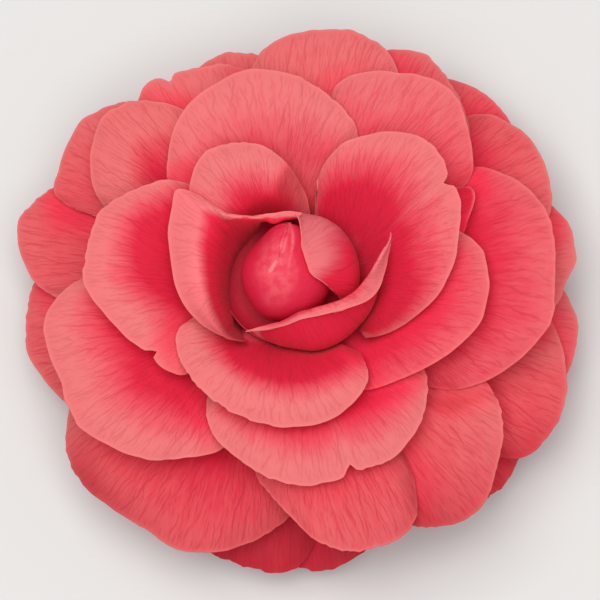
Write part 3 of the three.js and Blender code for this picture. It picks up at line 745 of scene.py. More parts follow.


# From the bud outwards: each petal is pressed under the ones before it.
# falls, dusk and hollow below set painted shade, and tuck crimson painted shade under other petals.
OPEN_PETALS = (
    turn_petal(2, 20, root=17.0, crest=34.6, tip=33.0, nicks=((28.5, 1.2, 1.2),),
               bands=(0.5, 2.6, 8, 10.5, 9, 5, 3.3), blushes=(0.2, 0.4, 0.25, 0, 0, 0.2, 0.45),
               falls=(1, 0.25, 0, 0, 0, 0, 0), rim=(
        (-38, 17), (-30, 20), (-19, 23.3), (-8, 26.5), (3, 28.8), (13, 30.4), (22, 32.1), (29, 32),
        (35, 33), (43, 32.8), (52, 30.6), (60, 27.4), (67, 24), (72, 19.5), (71, 14.5), (66, 11))),
    turn_petal(2, 110, root=17.5, crest=34.4, tip=33.0, bend=4.5, bands=(4.2, 8, 9.5, 10), tuck=0.5,
               crisp=1.4, rim=(
        (70, 10), (78, 15), (88, 18.5), (96, 21), (103, 23), (111, 24.1), (119, 24.8), (127, 24.6),
        (135, 22.8), (144, 20), (152, 16))),
    turn_petal(2, 258, root=16.5, crest=33.6, tip=31.8, bands=(7.2, 7.2, 7.4, 6.6, 1.5),
               blushes=(0.25, 0, 0, 0.2, 0.9), crisp=1.8, rim=(
        (203, 17), (208, 21), (217, 22.8), (228, 23.7), (242, 24.8), (257, 25.7), (272, 26.3),
        (287, 26.2), (298, 24.8), (308, 22.6), (314, 18))),
    turn_petal(2, 180, root=15.5, crest=32.6, tip=30.6, nicks=((209.5, 1.6, 0.9), (176, 0.5, 0.8)),
               bands=(1.5, 6.5, 10, 10.5), blushes=(0.35, 0, 0), crisp=1.3, rim=(
        (132, 20), (136, 24), (140, 26.5), (145, 28.7), (152, 31.2), (159, 33.6), (166, 34.2),
        (173, 34.5), (180, 34.8), (186, 33.2), (194, 30.8), (202, 28.8), (209, 26.8), (216, 26.2),
        (223, 24.3), (228, 20))),
    turn_petal(2, 337, root=14.5, crest=31.4, tip=29.8, bands=(0.8, 5.5, 7, 6),
               blushes=(0.85, 0.6, 0.45, 0.3), rim=(
        (-64, 20), (-56, 23.5), (-43, 26.3), (-33, 29), (-25, 31.3), (-15, 33.9), (-8, 34.4), (1, 34.2),
        (8, 33.2), (14, 30.5), (18, 26))),
    turn_petal(3, 102, root=13.5, crest=30.6, tip=28.4, bands=(8, 12, 18, 16, 9),
               blushes=(0, 0, 0, 0.3, 0.7), rim=(
        (60, 24), (64, 27.8), (69, 30), (77, 32.4), (83, 34.2), (90, 35.6), (101, 37), (112, 36.1),
        (122, 34.2), (131, 31), (137, 28.6), (141, 26), (144, 21))),
    turn_petal(3, 280, root=13.0, crest=30.0, tip=27.6, nicks=((288, 1.6, 1.3),), bands=(4, 9, 9, 3.3),
               blushes=(0.1, 0, 0.15, 0.45), crisp=1.15, rim=(
        (230, 20), (237, 25.5), (244, 29.2), (250, 31), (257, 32.5), (265, 34.4), (275, 35.9),
        (283, 35.8), (291, 35.4), (299, 36), (306, 35), (313, 33.4), (319, 31.4), (325, 28.5),
        (330, 23))),
    turn_petal(3, 22, root=13.0, crest=29.4, tip=28.0, claw=12, bands=(0.4, 0.4),
               blushes=(0.6, 0.6), rim=(
        (4, 26), (10, 28.8), (14, 31.1), (18, 32.8), (21, 34.1), (23.5, 34.9), (25.6, 35.2),
        (27.2, 34.4), (28.4, 31.8), (29, 28))),
    turn_petal(3, 53, root=12.0, crest=28.4, tip=26.2, sides=2.8, claw=20, bands=(1, 15, 21, 19),
               blushes=(0.8, 0.4, 0.3, 0.15), tuck=0.3, rim=(
        (27, 31), (29, 35.6), (34, 38.2), (39, 39.9), (43, 41.5), (47, 42.8), (52, 42.9), (57, 42),
        (62, 40.8), (67, 39.6), (73, 37.5), (77, 34.5), (79, 30))),
    turn_petal(3, 212, root=11.5, crest=27.6, tip=24.6, bands=(9.5, 11.5, 10.5, 4),
               blushes=(0.4, 0.2, 0.2, 0.4), crisp=1.5, rim=(
        (174, 30), (178, 35.9), (183, 40.3), (189, 42.7), (195, 43.1), (203, 42.7), (210, 43.4),
        (216, 43.3), (222, 41.7), (229, 39.8), (235, 37.4), (240, 34.8), (247, 31.4), (251, 27))),
    turn_petal(4, 282, root=10.5, crest=26.4, tip=21.8, sides=0.8, claw=18, bands=(8, 22, 20),
               blushes=(0.6, 0.5, 0.5), falls=(0.1, 0, 0.9), tuck=0.6, rim=(
        (257, 30), (261, 34), (266, 37.4), (271, 41), (276, 44.6), (282, 47.3), (288, 48), (293, 47.8),
        (297, 46.4), (300, 43.5), (302, 39), (303, 34))),
    turn_petal(3, 357, root=9.5, crest=26.4, tip=23.0, sides=1.8, lean=1.0, bands=(6.5, 9, 9, 3.5),
               blushes=(0.85, 0.5, 0.5), rim=(
        (-40, 27), (-37, 30), (-34.5, 33), (-31, 35.4), (-27, 37.9), (-21, 41), (-15, 43.3), (-9, 45.4),
        (0, 45.5), (10, 45.9), (16, 45.4), (22, 43.6), (28, 40.2), (32, 37), (35, 31))),
    turn_petal(4, 312, root=10.0, crest=24.0, tip=19.4, sides=0.6, lean=2.6, claw=18,
               bands=(16, 40, 40, 12), blushes=(0.95, 0.55, 0.2, 0.1),
               falls=(0.7, 0.6, 0.35, 0.1, 0, 0, 0), fade=14, tuck=0.5, rim=(
        (290, 38), (294, 44), (299, 47.8), (305, 50.2), (311, 50.2), (317, 47.8), (323, 45.4),
        (327, 43), (330, 40.6), (332.5, 38), (334, 34), (335, 30))),
    turn_petal(4, 139, root=9.5, crest=25.0, tip=21.6, sides=1.0, lean=-1.2, claw=18,
               bands=(11, 12, 14), crisp=1.9, rim=(
        (118, 33), (123, 38), (128, 41.8), (133, 43.7), (138, 44.4), (143, 43.3), (148, 41.2),
        (153, 38.3), (157, 34.5), (159, 30))),
    turn_petal(4, 80, root=9.0, crest=24.6, tip=20.6, sides=0.8, claw=18, bands=(18, 32, 28),
               blushes=(0.2, 0.2, 0.2), tuck=0.5, rim=(
        (58, 36), (63, 41.5), (68, 44.6), (73, 45.6), (78, 46), (83, 45.6), (88, 44.7), (94, 43.1),
        (98, 41.2), (102, 37))),
    turn_petal(4, 116, root=9.0, crest=22.6, tip=19.6, sides=3.2, claw=18, nicks=((120, 1.3, 1.2),),
               bands=(20, 20), rim=(
        (95, 32), (98, 37), (102, 40), (107, 41.5), (113, 42.4), (119, 43.6), (124, 44.5), (128, 43.4),
        (131, 41.5), (135, 38), (138, 33))),
    turn_petal(4, 55, root=8.5, crest=22.0, tip=17.6, sides=1.6, lean=-1.4, claw=18, bands=(11, 12),
               blushes=(0.65, 0.35, 0.65), rim=(
        (33, 36), (38, 39.6), (44, 42.3), (49, 44.2), (54, 45.8), (59, 47.1), (64, 46.7), (69, 45.2),
        (73, 42.5), (77, 38))),
    turn_petal(4, 30, root=8.0, crest=18.7, tip=14.8, sides=1.8, lean=-1.6, claw=18, bands=(10, 11, 9),
               blushes=(0.4, 0.4, 0.6), rim=(
        (9, 40), (13, 44.5), (17, 46.9), (22, 48.3), (28, 48.9), (33, 49), (38, 47.9), (42, 46.2),
        (46, 43), (50, 38))),
    turn_petal(5, 46, root=7.5, crest=13.8, tip=10.4, sides=1.2, claw=16, bands=(13, 13),
               blushes=(0.6, 0.6), rim=(
        (30, 41), (34, 45.5), (38, 48.3), (43, 48.9), (48, 48.5), (53, 47.7), (58, 45.8), (62, 42))),
    turn_petal(4, 8, root=7.5, crest=18.0, tip=14.0, sides=1.6, lean=-1.4, claw=16, bands=(15, 15),
               blushes=(0.3, 0.2), rim=(
        (-9, 42), (-4, 45.5), (1, 47.4), (6, 49.2), (12, 49.2), (17, 48), (21, 45.5), (25, 41))),
    turn_petal(4, 338, root=7.0, crest=16.6, tip=12.8, sides=1.4, claw=18, bands=(14, 26, 26),
               blushes=(0.95, 0.6, 0.1), falls=(0.7, 0.6, 0.4, 0.1, 0, 0, 0), rim=(
        (-44, 40), (-40, 45), (-37, 48.8), (-33, 50.4), (-27, 51), (-21, 50.4), (-16, 48.9),
        (-11, 46.8), (-6, 44), (-1, 39))),
    turn_petal(5, 349, root=7.0, crest=13.5, tip=9.6, sides=1.4, claw=16, bands=(18, 18),
               blushes=(0.5, 0.25), rim=(
        (-28, 42), (-22, 47.5), (-17, 49.3), (-12, 49.6), (-7, 49.5), (-3, 48.4), (1, 46.2), (5, 42))),
    turn_petal(5, 317, root=6.0, crest=11.6, tip=7.6, claw=14, bands=(13, 13), blushes=(0.85, 0.85),
               dusk=0.35, rim=(
        (302, 42), (307, 46), (312, 48.2), (317, 49.1), (322, 48.4), (326, 46.5), (330, 42))),
    turn_petal(4, 236, root=7.5, crest=19.4, tip=13.6, bands=(12, 13, 12, 8),
               blushes=(0.15, 0.45, 0.55, 0.65), falls=(0, 0.1, 0.8, 0.5, 0.1, 0.1, 0.3, 0.6), rim=(
        (201, 38), (206, 43.5), (212, 47), (218, 49), (224, 49.6), (230, 49.1), (237, 48.5),
        (245, 49.2), (252, 47.6), (258, 45.4), (264, 42.2), (269, 38.5), (272, 34))),
    turn_petal(5, 141, root=7.5, crest=18.4, tip=14.0, claw=16, bands=(18, 20),
               blushes=(0, 0.4, 0.65), rim=(
        (124, 40), (128, 44), (132, 46.4), (137, 48), (142, 48.9), (147, 48.3), (152, 47.3),
        (156, 46.4), (158, 43), (158, 38))),
    turn_petal(5, 164, root=7.0, crest=15.6, tip=10.4, sides=1.0, lean=0.8, claw=16, bands=(18, 16),
               blushes=(0.5, 0.4, 0.45), rim=(
        (148, 40), (152, 45.5), (156, 48.2), (160, 50), (164, 51), (168, 50.3), (172, 48.7),
        (176, 46.2), (180, 42))),
    turn_petal(5, 190, root=6.0, crest=12.6, tip=7.8, sides=2.4, claw=16, bands=(18, 16),
               blushes=(0.55, 0.45, 0.4), rim=(
        (171, 42), (175, 46.4), (180, 47.8), (186, 48.3), (191, 48.4), (197, 46.9), (204, 44.4),
        (209, 40))),
    turn_petal(5, 106, root=7.0, crest=16.0, tip=12.6, claw=16, bands=(13, 13),
               blushes=(0.2, 0.2), rim=(
        (88, 36), (93, 41), (98, 43.2), (103, 44.5), (108, 45.2), (113, 44.2), (119, 41.5), (124, 36))),
    turn_petal(5, 258, root=5.5, crest=11.4, tip=6.2, sides=1.0, claw=16, bands=(5, 5),
               blushes=(0.95, 0.95), dusk=0.8, rim=(
        (240, 40), (245, 44.5), (250, 46.8), (256, 47.6), (262, 48.2), (267, 48.1), (271, 46.4),
        (275, 42))),
    turn_petal(5, 278, root=5.0, crest=8.4, tip=4.2, sides=1.6, claw=16, bands=(8, 8),
               blushes=(0.9, 0.9), dusk=0.7, rim=(
        (262, 41), (267, 45), (271, 47.2), (276, 48), (281, 46.8), (286, 45), (291, 42), (295, 38))),
    back_petal(75, 42, 6.0, 9.0, 4.0),
    back_petal(190, 41, 5.5, 8.0, 4.0),
    back_petal(320, 41, 5.0, 8.0, 4.0),
    back_petal(20, 39, 4.5, 6.0, 3.0),
    back_petal(125, 38, 4.5, 6.4, -1.75),
    back_petal(245, 38, 4.0, 5.6, -1.74),
    back_petal(5, 36, 3.6, 5.2, -1.74),
)

# From the bud outwards too, all laid before the open ones.
WRAPPED_PETALS = (
    WrappedPetal("hood", "petal_hood", Slot.HEART, columns=72, rows=64,
                 bands=(0.3, 0.8, 7.5, 9.5, 10.5), blushes=(0.9, 0.5, 0, 0, 0), crisp=1.3,
                 foot=20.8, fibres=(
        (-18, -24, ((9.3, 23.4), (10.9, 26.6), (10.2, 30.4))),
        (-6, -20, ((10.6, 24.4), (11.6, 29.2), (7.6, 34.3))),
        (10, -12, ((11.0, 25.0), (11.8, 30.8), (5.0, 36.6))),
        (23, 14, ((11.2, 25.0), (11.7, 31.4), (4.2, 37.3))),
        (35, 42, ((11.2, 25.0), (11.5, 31.6), (4.6, 37.4))),
        (46, 62, ((10.8, 25.0), (11.2, 31.0), (6.4, 37.0))),
        (53, 78, ((10.2, 24.6), (11.0, 30.0), (9.6, 35.8))))),
    WrappedPetal("boat", "petal_boat", Slot.HEART, columns=110, rows=64, crisp=1.6,
                 bands=(1.2, 1.1, 1.5, 2.8, 5, 5), foot=19.6, fibres=(
        (268, 236, ((9.6, 22.4), (11.0, 27.0), (11.3, 31.8), (11.9, 32.3))),
        (276, 251, ((9.8, 22.2), (11.3, 27.6), (9.8, 33.5), (10.4, 33.3))),
        (286, 271, ((10.4, 22.2), (11.9, 28.2), (8.6, 34.6), (9.4, 34.4))),
        (297, 291, ((11.6, 22.6), (13.1, 28.6), (8.0, 35.1), (9.0, 34.9))),
        (308, 311, ((12.2, 22.8), (13.9, 28.8), (9.0, 35.2), (10.3, 35.2))),
        (318, 328, ((12.8, 23.0), (14.4, 29.0), (10.8, 35.4), (12.7, 35.0))),
        (327, 343, ((13.2, 23.2), (15.2, 29.2), (12.7, 35.5), (15.7, 34.0))),
        (335, 358, ((13.4, 23.4), (15.6, 29.4), (14.5, 35.3), (17.0, 33.2))),
        (341, 371, ((13.2, 23.4), (15.8, 29.2), (16.6, 34.5), (17.9, 33.0))),
        (343, 380, ((12.8, 23.4), (15.6, 29.0), (18.7, 33.6), (19.1, 33.2))))),
    WrappedPetal("cup", "petal_cup", Slot.HEART, columns=170, rows=90, pale_ends=(False, False),
                 falls=(1, 0.5, 0.05, 0, 0, 0, 0, 0, 0), blushes=(1, 0.25, 0, 0, 0, 0, 0), crisp=3.2,
                 hollow_shade=0.45,
                 bands=(0.6, 1.2, 2.8, 4.4, 5.4, 6.2, 6.9, 7.4, 7.9, 8.0, 6.4, 3.8, 1.7, 0.8,
                        0.7, 0.9, 1.3, 1.3, 1.2),
                 foot=19.9, fibres=(
        (206, 240, ((10.6, 21.6), (12.4, 24.6), (12.9, 27.2), (12.9, 28.9))),
        (202, 231, ((10.6, 21.8), (12.7, 26.4), (13.8, 30.8), (14.3, 32.2))),
        (198, 224, ((10.8, 22.0), (12.0, 27.4), (14.3, 33.6), (15.3, 33.5))),
        (193, 212, ((9.8, 22.2), (11.5, 28.2), (14.3, 34.6), (16.6, 34.0))),
        (187, 198, ((9.8, 22.2), (11.0, 28.8), (13.9, 35.3), (17.7, 34.1))),
        (181, 186, ((9.8, 22.2), (10.7, 29.0), (13.7, 35.7), (18.6, 34.1))),
        (174, 172, ((9.7, 22.2), (10.6, 29.2), (14.1, 35.9), (19.5, 34.0))),
        (167, 160, ((9.7, 22.2), (10.6, 29.2), (14.5, 35.9), (21.1, 33.9))),
        (160, 149, ((9.6, 22.2), (10.6, 29.2), (14.6, 35.9), (22.2, 33.7))),
        (154, 141.5, ((9.5, 22.2), (10.6, 29.1), (15.2, 35.8), (23.2, 33.8))),
        (149, 137.5, ((9.5, 22.2), (10.5, 29.0), (14.5, 35.8), (19.4, 34.7))),
        (145, 136.8, ((9.5, 22.2), (10.4, 28.9), (13.7, 35.8), (16.2, 35.6))),
        (141, 134.5, ((9.5, 22.2), (10.3, 28.8), (12.6, 35.8), (13.6, 36.0))),
        (136, 127, ((9.8, 22.2), (10.2, 28.5), (10.9, 35.8), (11.5, 36.1))),
        (131, 117, ((9.6, 22.2), (10.1, 28.2), (9.7, 35.8), (10.3, 36.1))),
        (126, 107, ((9.4, 22.2), (10.9, 28.0), (8.9, 35.8), (9.9, 36.2))),
        (121, 98, ((9.4, 22.2), (10.9, 28.0), (8.1, 35.8), (9.7, 36.2))),
        (115, 87, ((9.2, 22.2), (10.8, 27.6), (8.6, 35.9), (9.9, 36.1))),
        (109, 72, ((9.0, 22.2), (10.6, 27.2), (9.4, 34.6), (10.3, 35.0))))),
)


@dataclass
class Calyx:
    """Sepals and small bracts grown together with the receptacle the petals sit on.

    Each sepal is its azimuth, its reach, the heights of its root, crest and tip, and half its
    width in degrees. outline is how its rim falls short of its reach, at shares of that half.
    profile is the receptacle's outline, as radius and height over the floor.
    """

    sepals: Sequence[tuple[float, ...]] = (
        (55, 14.5, 2.6, 3.4, 2.2, 36), (200, 14.0, 2.2, 3.0, 1.9, 36),
        (325, 14.0, 1.8, 2.6, 1.6, 36), (125, 13.0, 1.4, 2.2, 1.2, 36),
        (265, 13.0, 1.0, 1.8, 0.9, 36), (0, 10.0, 0.4, 0.8, 0.2, 30),
        (160, 10.0, 0.2, 0.6, 0.0, 30))
    outline: Rim = ((0, 0), (0.4, 0.4), (0.8, 1.6), (1, 3.6))
    profile: Rim = ((0, 0), (4.6, 0), (5.4, 0.7), (5.9, 1.8), (5.9, 22.4), (5.4, 23.1),
                    (2.6, 23.4), (0, 23.5))

    def receptacle(self) -> bpy.types.Object:
        """Reshape a sphere, ring by ring, to the receptacle's profile.

        Returns:
            The receptacle.
        """
        bm = bmesh.new()
        last = len(self.profile) - 1
        bmesh.ops.create_uvsphere(bm, u_segments=64, v_segments=last, radius=1)
        for vert in bm.verts:
            fall = math.acos(max(-1.0, min(1.0, vert.co.z))) / math.pi
            reach, height = self.profile[round((1 - fall) * last)]
            turn = math.atan2(vert.co.y, vert.co.x)
            vert.co = Vector((reach * math.cos(turn), reach * math.sin(turn), height)) * MM
        return keep(bm, "receptacle", "calyx")

    def build(self, ceiling: Array) -> list[bpy.types.Object]:
        """Make the receptacle and lay each sepal under the petals.

        Args:
            ceiling: Room that the petals leave.

        Returns:
            The pieces of the calyx.
        """
        pieces = [self.receptacle()]
        for n, (at, reach, root, crest, tip, half) in enumerate(self.sepals):
            rim = even_rim(at, reach, half, self.outline)
            sepal = OpenPetal(f"sepal_{n + 1}", "", Slot.CALYX, rim=rim, root=root, crest=crest,
                              tip=tip, sides=0.3, claw=34, start=5.1, columns=32, rows=20,
                              thickness=0.7, seed=200 + n)
            ceiling = sepal.lay(ceiling)
            pieces.append(sepal.build())
        return pieces


class Term:
    """A node socket that takes part in Python expressions."""

    def __init__(self, shade: Shade, socket: bpy.types.NodeSocket) -> None:
        """Wrap one output socket of a shade's node tree."""
        self.shade, self.socket = shade, socket

    def math(self, operation: str, *others: Any) -> Term:
        """Result of a Math node on this value and others."""
        values = dict(enumerate((self, *others)))
        return self.shade.node("ShaderNodeMath", {"operation": operation}, values)

    def __add__(self, other: Any) -> Term:
        """Sum."""
        return self.math("ADD", other)

    def __radd__(self, other: Any) -> Term:
        """Sum, the number first."""
        return self.math("ADD", other)

    def __sub__(self, other: Any) -> Term:
        """Difference."""
        return self.math("SUBTRACT", other)

    def __rsub__(self, other: Any) -> Term:
        """Difference, the number first."""
        return self.shade.node("ShaderNodeMath", {"operation": "SUBTRACT"}, {0: other, 1: self})

    def __mul__(self, other: Any) -> Term:
        """Product."""
        return self.math("MULTIPLY", other)

    def __rmul__(self, other: Any) -> Term:
        """Product, the number first."""
        return self.math("MULTIPLY", other)

    def __truediv__(self, other: Any) -> Term:
        """Quotient."""
        return self.math("DIVIDE", other)

    def __pow__(self, other: Any) -> Term:
        """Power."""
        return self.math("POWER", other)

    def size(self) -> Term:
        """Absolute value."""
        return self.math("ABSOLUTE")

    def between(self, low: float, high: float) -> Term:
        """Smooth step from 0 at low to 1 at high."""
        return self.shade.node("ShaderNodeMapRange", {"interpolation_type": "SMOOTHSTEP"},
                               {0: self, 1: low, 2: high})


class Shade:
    """Node tree of one material, with one method that makes any node."""

    def __init__(self, name: str) -> None:
        """Start an empty material with a principled surface.

        Args:
            name: Name of the material.
        """
        self.material = bpy.data.materials.new(name)
        self.material.use_nodes = True
        self.tree = self.material.node_tree
        self.tree.nodes.clear()
        self.surface = self.tree.nodes.new("ShaderNodeBsdfPrincipled")
        self.output = self.tree.nodes.new("ShaderNodeOutputMaterial")
        self.tree.links.new(self.surface.outputs[0], self.output.inputs[0])

    def node(self, kind: str, settings: dict[str, Any] | None = None,
             values: dict[Any, Any] | None = None, output: Any = 0) -> Term:
        """Make a node.

        Args:
            kind: Node type.
            settings: Properties, set first.
            values: Values or terms for its input sockets.
            output: Output socket to return.

        Returns:
            The output socket as a term.
        """
        made = self.tree.nodes.new(kind)
        for name, value in (settings or {}).items():
            setattr(made, name, value)
        for key, value in (values or {}).items():
            self.feed(made.inputs[key], value)
        return Term(self, made.outputs[output])

    def feed(self, socket: bpy.types.NodeSocket, value: Any) -> None:
        """Link a term to a socket, or set a plain value on it.

        Args:
            socket: Input socket.
            value: Term, number, vector or colour.
        """
        if isinstance(value, Term):
            self.tree.links.new(value.socket, socket)
        elif hasattr(socket.default_value, "__len__") and len(socket.default_value) == 4:
            socket.default_value = (*value, 1) if len(value) == 3 else value
        else:
            socket.default_value = value

    def dress(self, **values: Any) -> bpy.types.Material:
        """Set the surface's own sockets.

        Args:
            values: Their values, an underscore for each space in a name.

        Returns:
            The finished material.
        """
        for name, value in values.items():
            self.feed(self.surface.inputs[name.replace("_", " ")], value)
        return self.material

    def pass_light(self, share: float, colour: Colour) -> None:
        """Let some of the light through, as a petal does.

        Args:
            share: Share of the light.
            colour: Tint that it takes.
        """
        through = self.node("ShaderNodeBsdfTranslucent", None, {"Color": colour})
        both = self.node("ShaderNodeMixShader", None, {0: share, 2: through})
        self.tree.links.new(self.surface.outputs[0], both.socket.node.inputs[1])
        self.tree.links.new(both.socket, self.output.inputs[0])

    def mark(self, name: str) -> Term:
        """A number kept on the mesh."""
        return self.node("ShaderNodeAttribute", {"attribute_name": name}, output="Fac")

    def place(self) -> Term:
        """Object coordinates."""
        return self.node("ShaderNodeTexCoord", output="Object")

    def vector(self, x: Any, y: Any, z: Any) -> Term:
        """A vector of three values."""
        return self.node("ShaderNodeCombineXYZ", None, {0: x, 1: y, 2: z})

    def part(self, vector: Term, axis: int) -> Term:
        """One coordinate of a vector."""
        return self.node("ShaderNodeSeparateXYZ", None, {0: vector}, output=axis)

    def noise(self, vector: Term, scale: float, detail: float = 2.0, rough: float = 0.5) -> Term:
        """Noise on a vector, about 0.5 in the middle."""
        return self.node("ShaderNodeTexNoise", None, {
            "Vector": vector, "Scale": scale, "Detail": detail, "Roughness": rough})

    def mix(self, share: Any, low: Any, high: Any) -> Term:
        """Mix of two colours."""
        return self.node("ShaderNodeMix", {"data_type": "RGBA"}, {0: share, 6: low, 7: high}, 2)

    def bump(self, height: Term, depth: float, strength: float = 1.0) -> Term:
        """Normal of a relief of some depth in metres."""
        return self.node("ShaderNodeBump", None, {
            "Height": height, "Distance": depth, "Strength": strength})


@dataclass(frozen=True)
class Net:
    """One set of fine veins along a petal, in millimetres.

    slant turns the set across the petal, gap is the distance between veins and width half a
    vein's width, sway how far they wander, breaks how often they break off, and share how
    clear they are. salt sets them apart from the other sets.
    """

    slant: float
    gap: float
    width: float
    sway: float
    salt: float
    breaks: float
    share: float

    def lines(self, shade: Shade, x: Term, y: Term) -> Term:
        """Draw the veins.

        Args:
            shade: Node tree.
            x: Place across the petal.
            y: Place along it.

        Returns:
            The set's share on a vein and 0 between the veins.
        """
        across = x + y * self.slant
        drift = shade.noise(shade.vector(across * 0.2, y * 0.14, self.salt), 1.0, 2.0) - 0.5
        kink = shade.noise(shade.vector(across * 0.6, y * 0.5, self.salt + 2), 1.0, 2.0) - 0.5
        place = (across + drift * (2 * self.sway) + kink * 0.5) / self.gap
        off = (place.math("FRACT") - 0.5).size() * self.gap
        line = 1 - off.between(0.0, self.width)
        broken = shade.noise(shade.vector(across * 0.7, y * self.breaks, self.salt + 4), 1.0, 2.0)
        return line * broken.between(0.42, 0.6) * self.share


@dataclass(frozen=True)
class PetalFinish:
    """Matt, velvety petal skin: crimson in the throat, salmon on the border, finely veined.

    tucked is a crimson painted shade close under another petal, edge a painted highlight on
    the lit rim, and deep the painted shade of the shaded parts.
    through is the share of light that the skin lets pass, glow its tint, and relief the depth
    of the relief in metres.
    """

    name: str
    pale: Colour
    body: Colour
    throat: Colour = (0.68, 0.015, 0.056)
    deep: Colour = (0.40, 0.010, 0.026)
    tucked: Colour = (0.88, 0.028, 0.085)
    edge: Colour = (0.88, 0.30, 0.29)
    vein: Colour = (0.50, 0.018, 0.042)
    veins: float = 0.34
    nets: Sequence[Net] = (Net(0.0, 0.85, 0.2, 1.3, 1.0, 0.3, 0.7),
                           Net(-0.08, 1.4, 0.26, 1.5, 9.0, 0.14, 0.85),
                           Net(0.15, 2.7, 0.32, 1.7, 17.0, 0.1, 1.0))
    roughness: float = 0.66
    through: float = 0.4
    glow: Colour = (0.97, 0.10, 0.10)
    relief: float = 0.0002

    def material(self) -> bpy.types.Material:
        """Build the material.

        Returns:
            The material.
        """
        shade = Shade(self.name)
        margin, ripe = shade.mark("margin"), shade.mark("ripe")
        plan = shade.node("ShaderNodeUVMap", {"uv_map": "plan"})
        x, y = shade.part(plan, 0), shade.part(plan, 1)
        vein, *others = (net.lines(shade, x, y) for net in self.nets)
        for lines in others:
            vein = vein.math("MAXIMUM", lines)
        vein = vein * margin.between(0.1, 1.4)
        flame = shade.noise(shade.vector(x * 1.1, y * 0.16, 5.0), 1.0, 3.0, 0.6) - 0.5
        cloud = shade.noise(shade.vector(x * 0.2, y * 0.2, 13.0), 1.0, 2.0) - 0.5
        quilt = shade.noise(shade.vector(x * 0.9, y * 0.42, 21.0), 1.0, 2.0, 0.55)
        depth = ripe + flame * 0.5 + cloud * 0.3
        # From the salmon border to the body, then to the throat: the petal's own colours, and partly
        # painted light, pale on the lit border and crimson in the shaded throat.
        colour = shade.mix(depth.between(0.15, 0.9), self.pale, self.body)
        colour = shade.mix(depth.between(0.7, 1.25), colour, self.throat)
        colour = shade.mix((quilt - 0.5) * (1 - depth.between(0.3, 1.0)) * 0.7, colour, self.pale)
        clear = 0.62 + 0.5 * depth.between(0.1, 0.9)
        colour = shade.mix(vein * clear * self.veins, colour, self.vein)
        dusk = shade.mark("dusk")
        # Painted highlight along the lit rim, dimmed on petals painted in shade.
        light = (1 - margin.between(0.15, 0.7)) * (1 - depth.between(0.3, 1.0) * 0.85)
        colour = shade.mix(light * (0.35 - dusk * 0.35), colour, self.edge)
        # Painted shade, crimson, close under the petals that lie over this one.
        colour = shade.mix(shade.mark("near") * 0.8, colour, self.tucked)
        # Painted shade where rims turn away from the light, in the hollow, and over whole shaded
        # petals.
        shadow = shade.mark("fall").math("MAXIMUM", dusk)
        colour = shade.mix(shadow * 0.8, colour, self.deep)
        grain = shade.noise(shade.vector(x * 3.4, y * 1.9, 29.0), 1.0, 1.0)
        relief = quilt * 0.65 - vein * 0.36 + grain * 0.2
        shade.pass_light(self.through, self.glow)
        return shade.dress(Base_Color=colour, Roughness=self.roughness,
                           Normal=shade.bump(relief, self.relief, 0.8),
                           Specular_IOR_Level=0.2, Sheen_Weight=0.06, Sheen_Roughness=0.5)


@dataclass(frozen=True)
class BudFinish:
    """Skin of the closed bud: crimson, with a mottled patch of painted light and a painted highlight.

    Their places are in millimetres, seen from above, and the highlight's heights over the floor.
    """

    name: str = "bud_skin"
    deep: Colour = (0.58, 0.013, 0.045)
    pale: Colour = (0.66, 0.07, 0.098)
    light: Colour = (0.80, 0.26, 0.28)
    patch_at: tuple[float, float] = (-1.1, -0.2)
    patch_spread: tuple[float, float] = (15.0, 40.0)
    highlight_at: tuple[float, float] = (-1.6, 0.2)
    highlight_way: tuple[float, float] = (0.54, 0.84)
    highlight_heights: tuple[float, float] = (33.0, 35.0)

    def material(self) -> bpy.types.Material:
        """Build the material.

        Returns:
            The material.
        """
        shade = Shade(self.name)
        place = shade.place()
        x, y, z = (shade.part(place, axis) / MM for axis in range(3))
        cloud = shade.noise(shade.vector(x * 0.35, y * 0.35, z * 0.35), 1.0, 2.0)
        blot = shade.noise(shade.vector(x * 0.7, y * 0.7, z * 0.7 + 40), 1.0, 3.0, 0.55)
        # Paler where the bud faces the light and crimson towards its sides: painted light, mottled.
        px, py = x - self.patch_at[0], y - self.patch_at[1]
        patch = px**2 / self.patch_spread[0] + py**2 / self.patch_spread[1]
        patch = 1 - (patch + (cloud - 0.5) * 1.1).between(0.15, 1.25)
        colour = shade.mix(patch * (0.3 + 0.5 * blot.between(0.36, 0.62)), self.deep, self.pale)
        # Painted highlight: a short light streak high on the bud.
        sx, sy = x - self.highlight_at[0], y - self.highlight_at[1]
        wx, wy = self.highlight_way
        along, off = sx * wx + sy * wy, sx * wy - sy * wx
        highlight = (1 - (off.size() + (blot - 0.5) * 0.5).between(0.1, 0.5)) * (
            1 - along.size().between(0.7, 1.5)) * z.between(*self.highlight_heights)
        colour = shade.mix(highlight * 0.5, colour, self.light)
        colour = shade.mix(shade.mark("edge") * blot.between(0.3, 0.6) * 0.3, colour, self.light)
        relief = blot * 0.6 + cloud * 0.4
        return shade.dress(Base_Color=colour, Roughness=0.62, Specular_IOR_Level=0.22,
                           Normal=shade.bump(relief, 0.0003, 0.7))


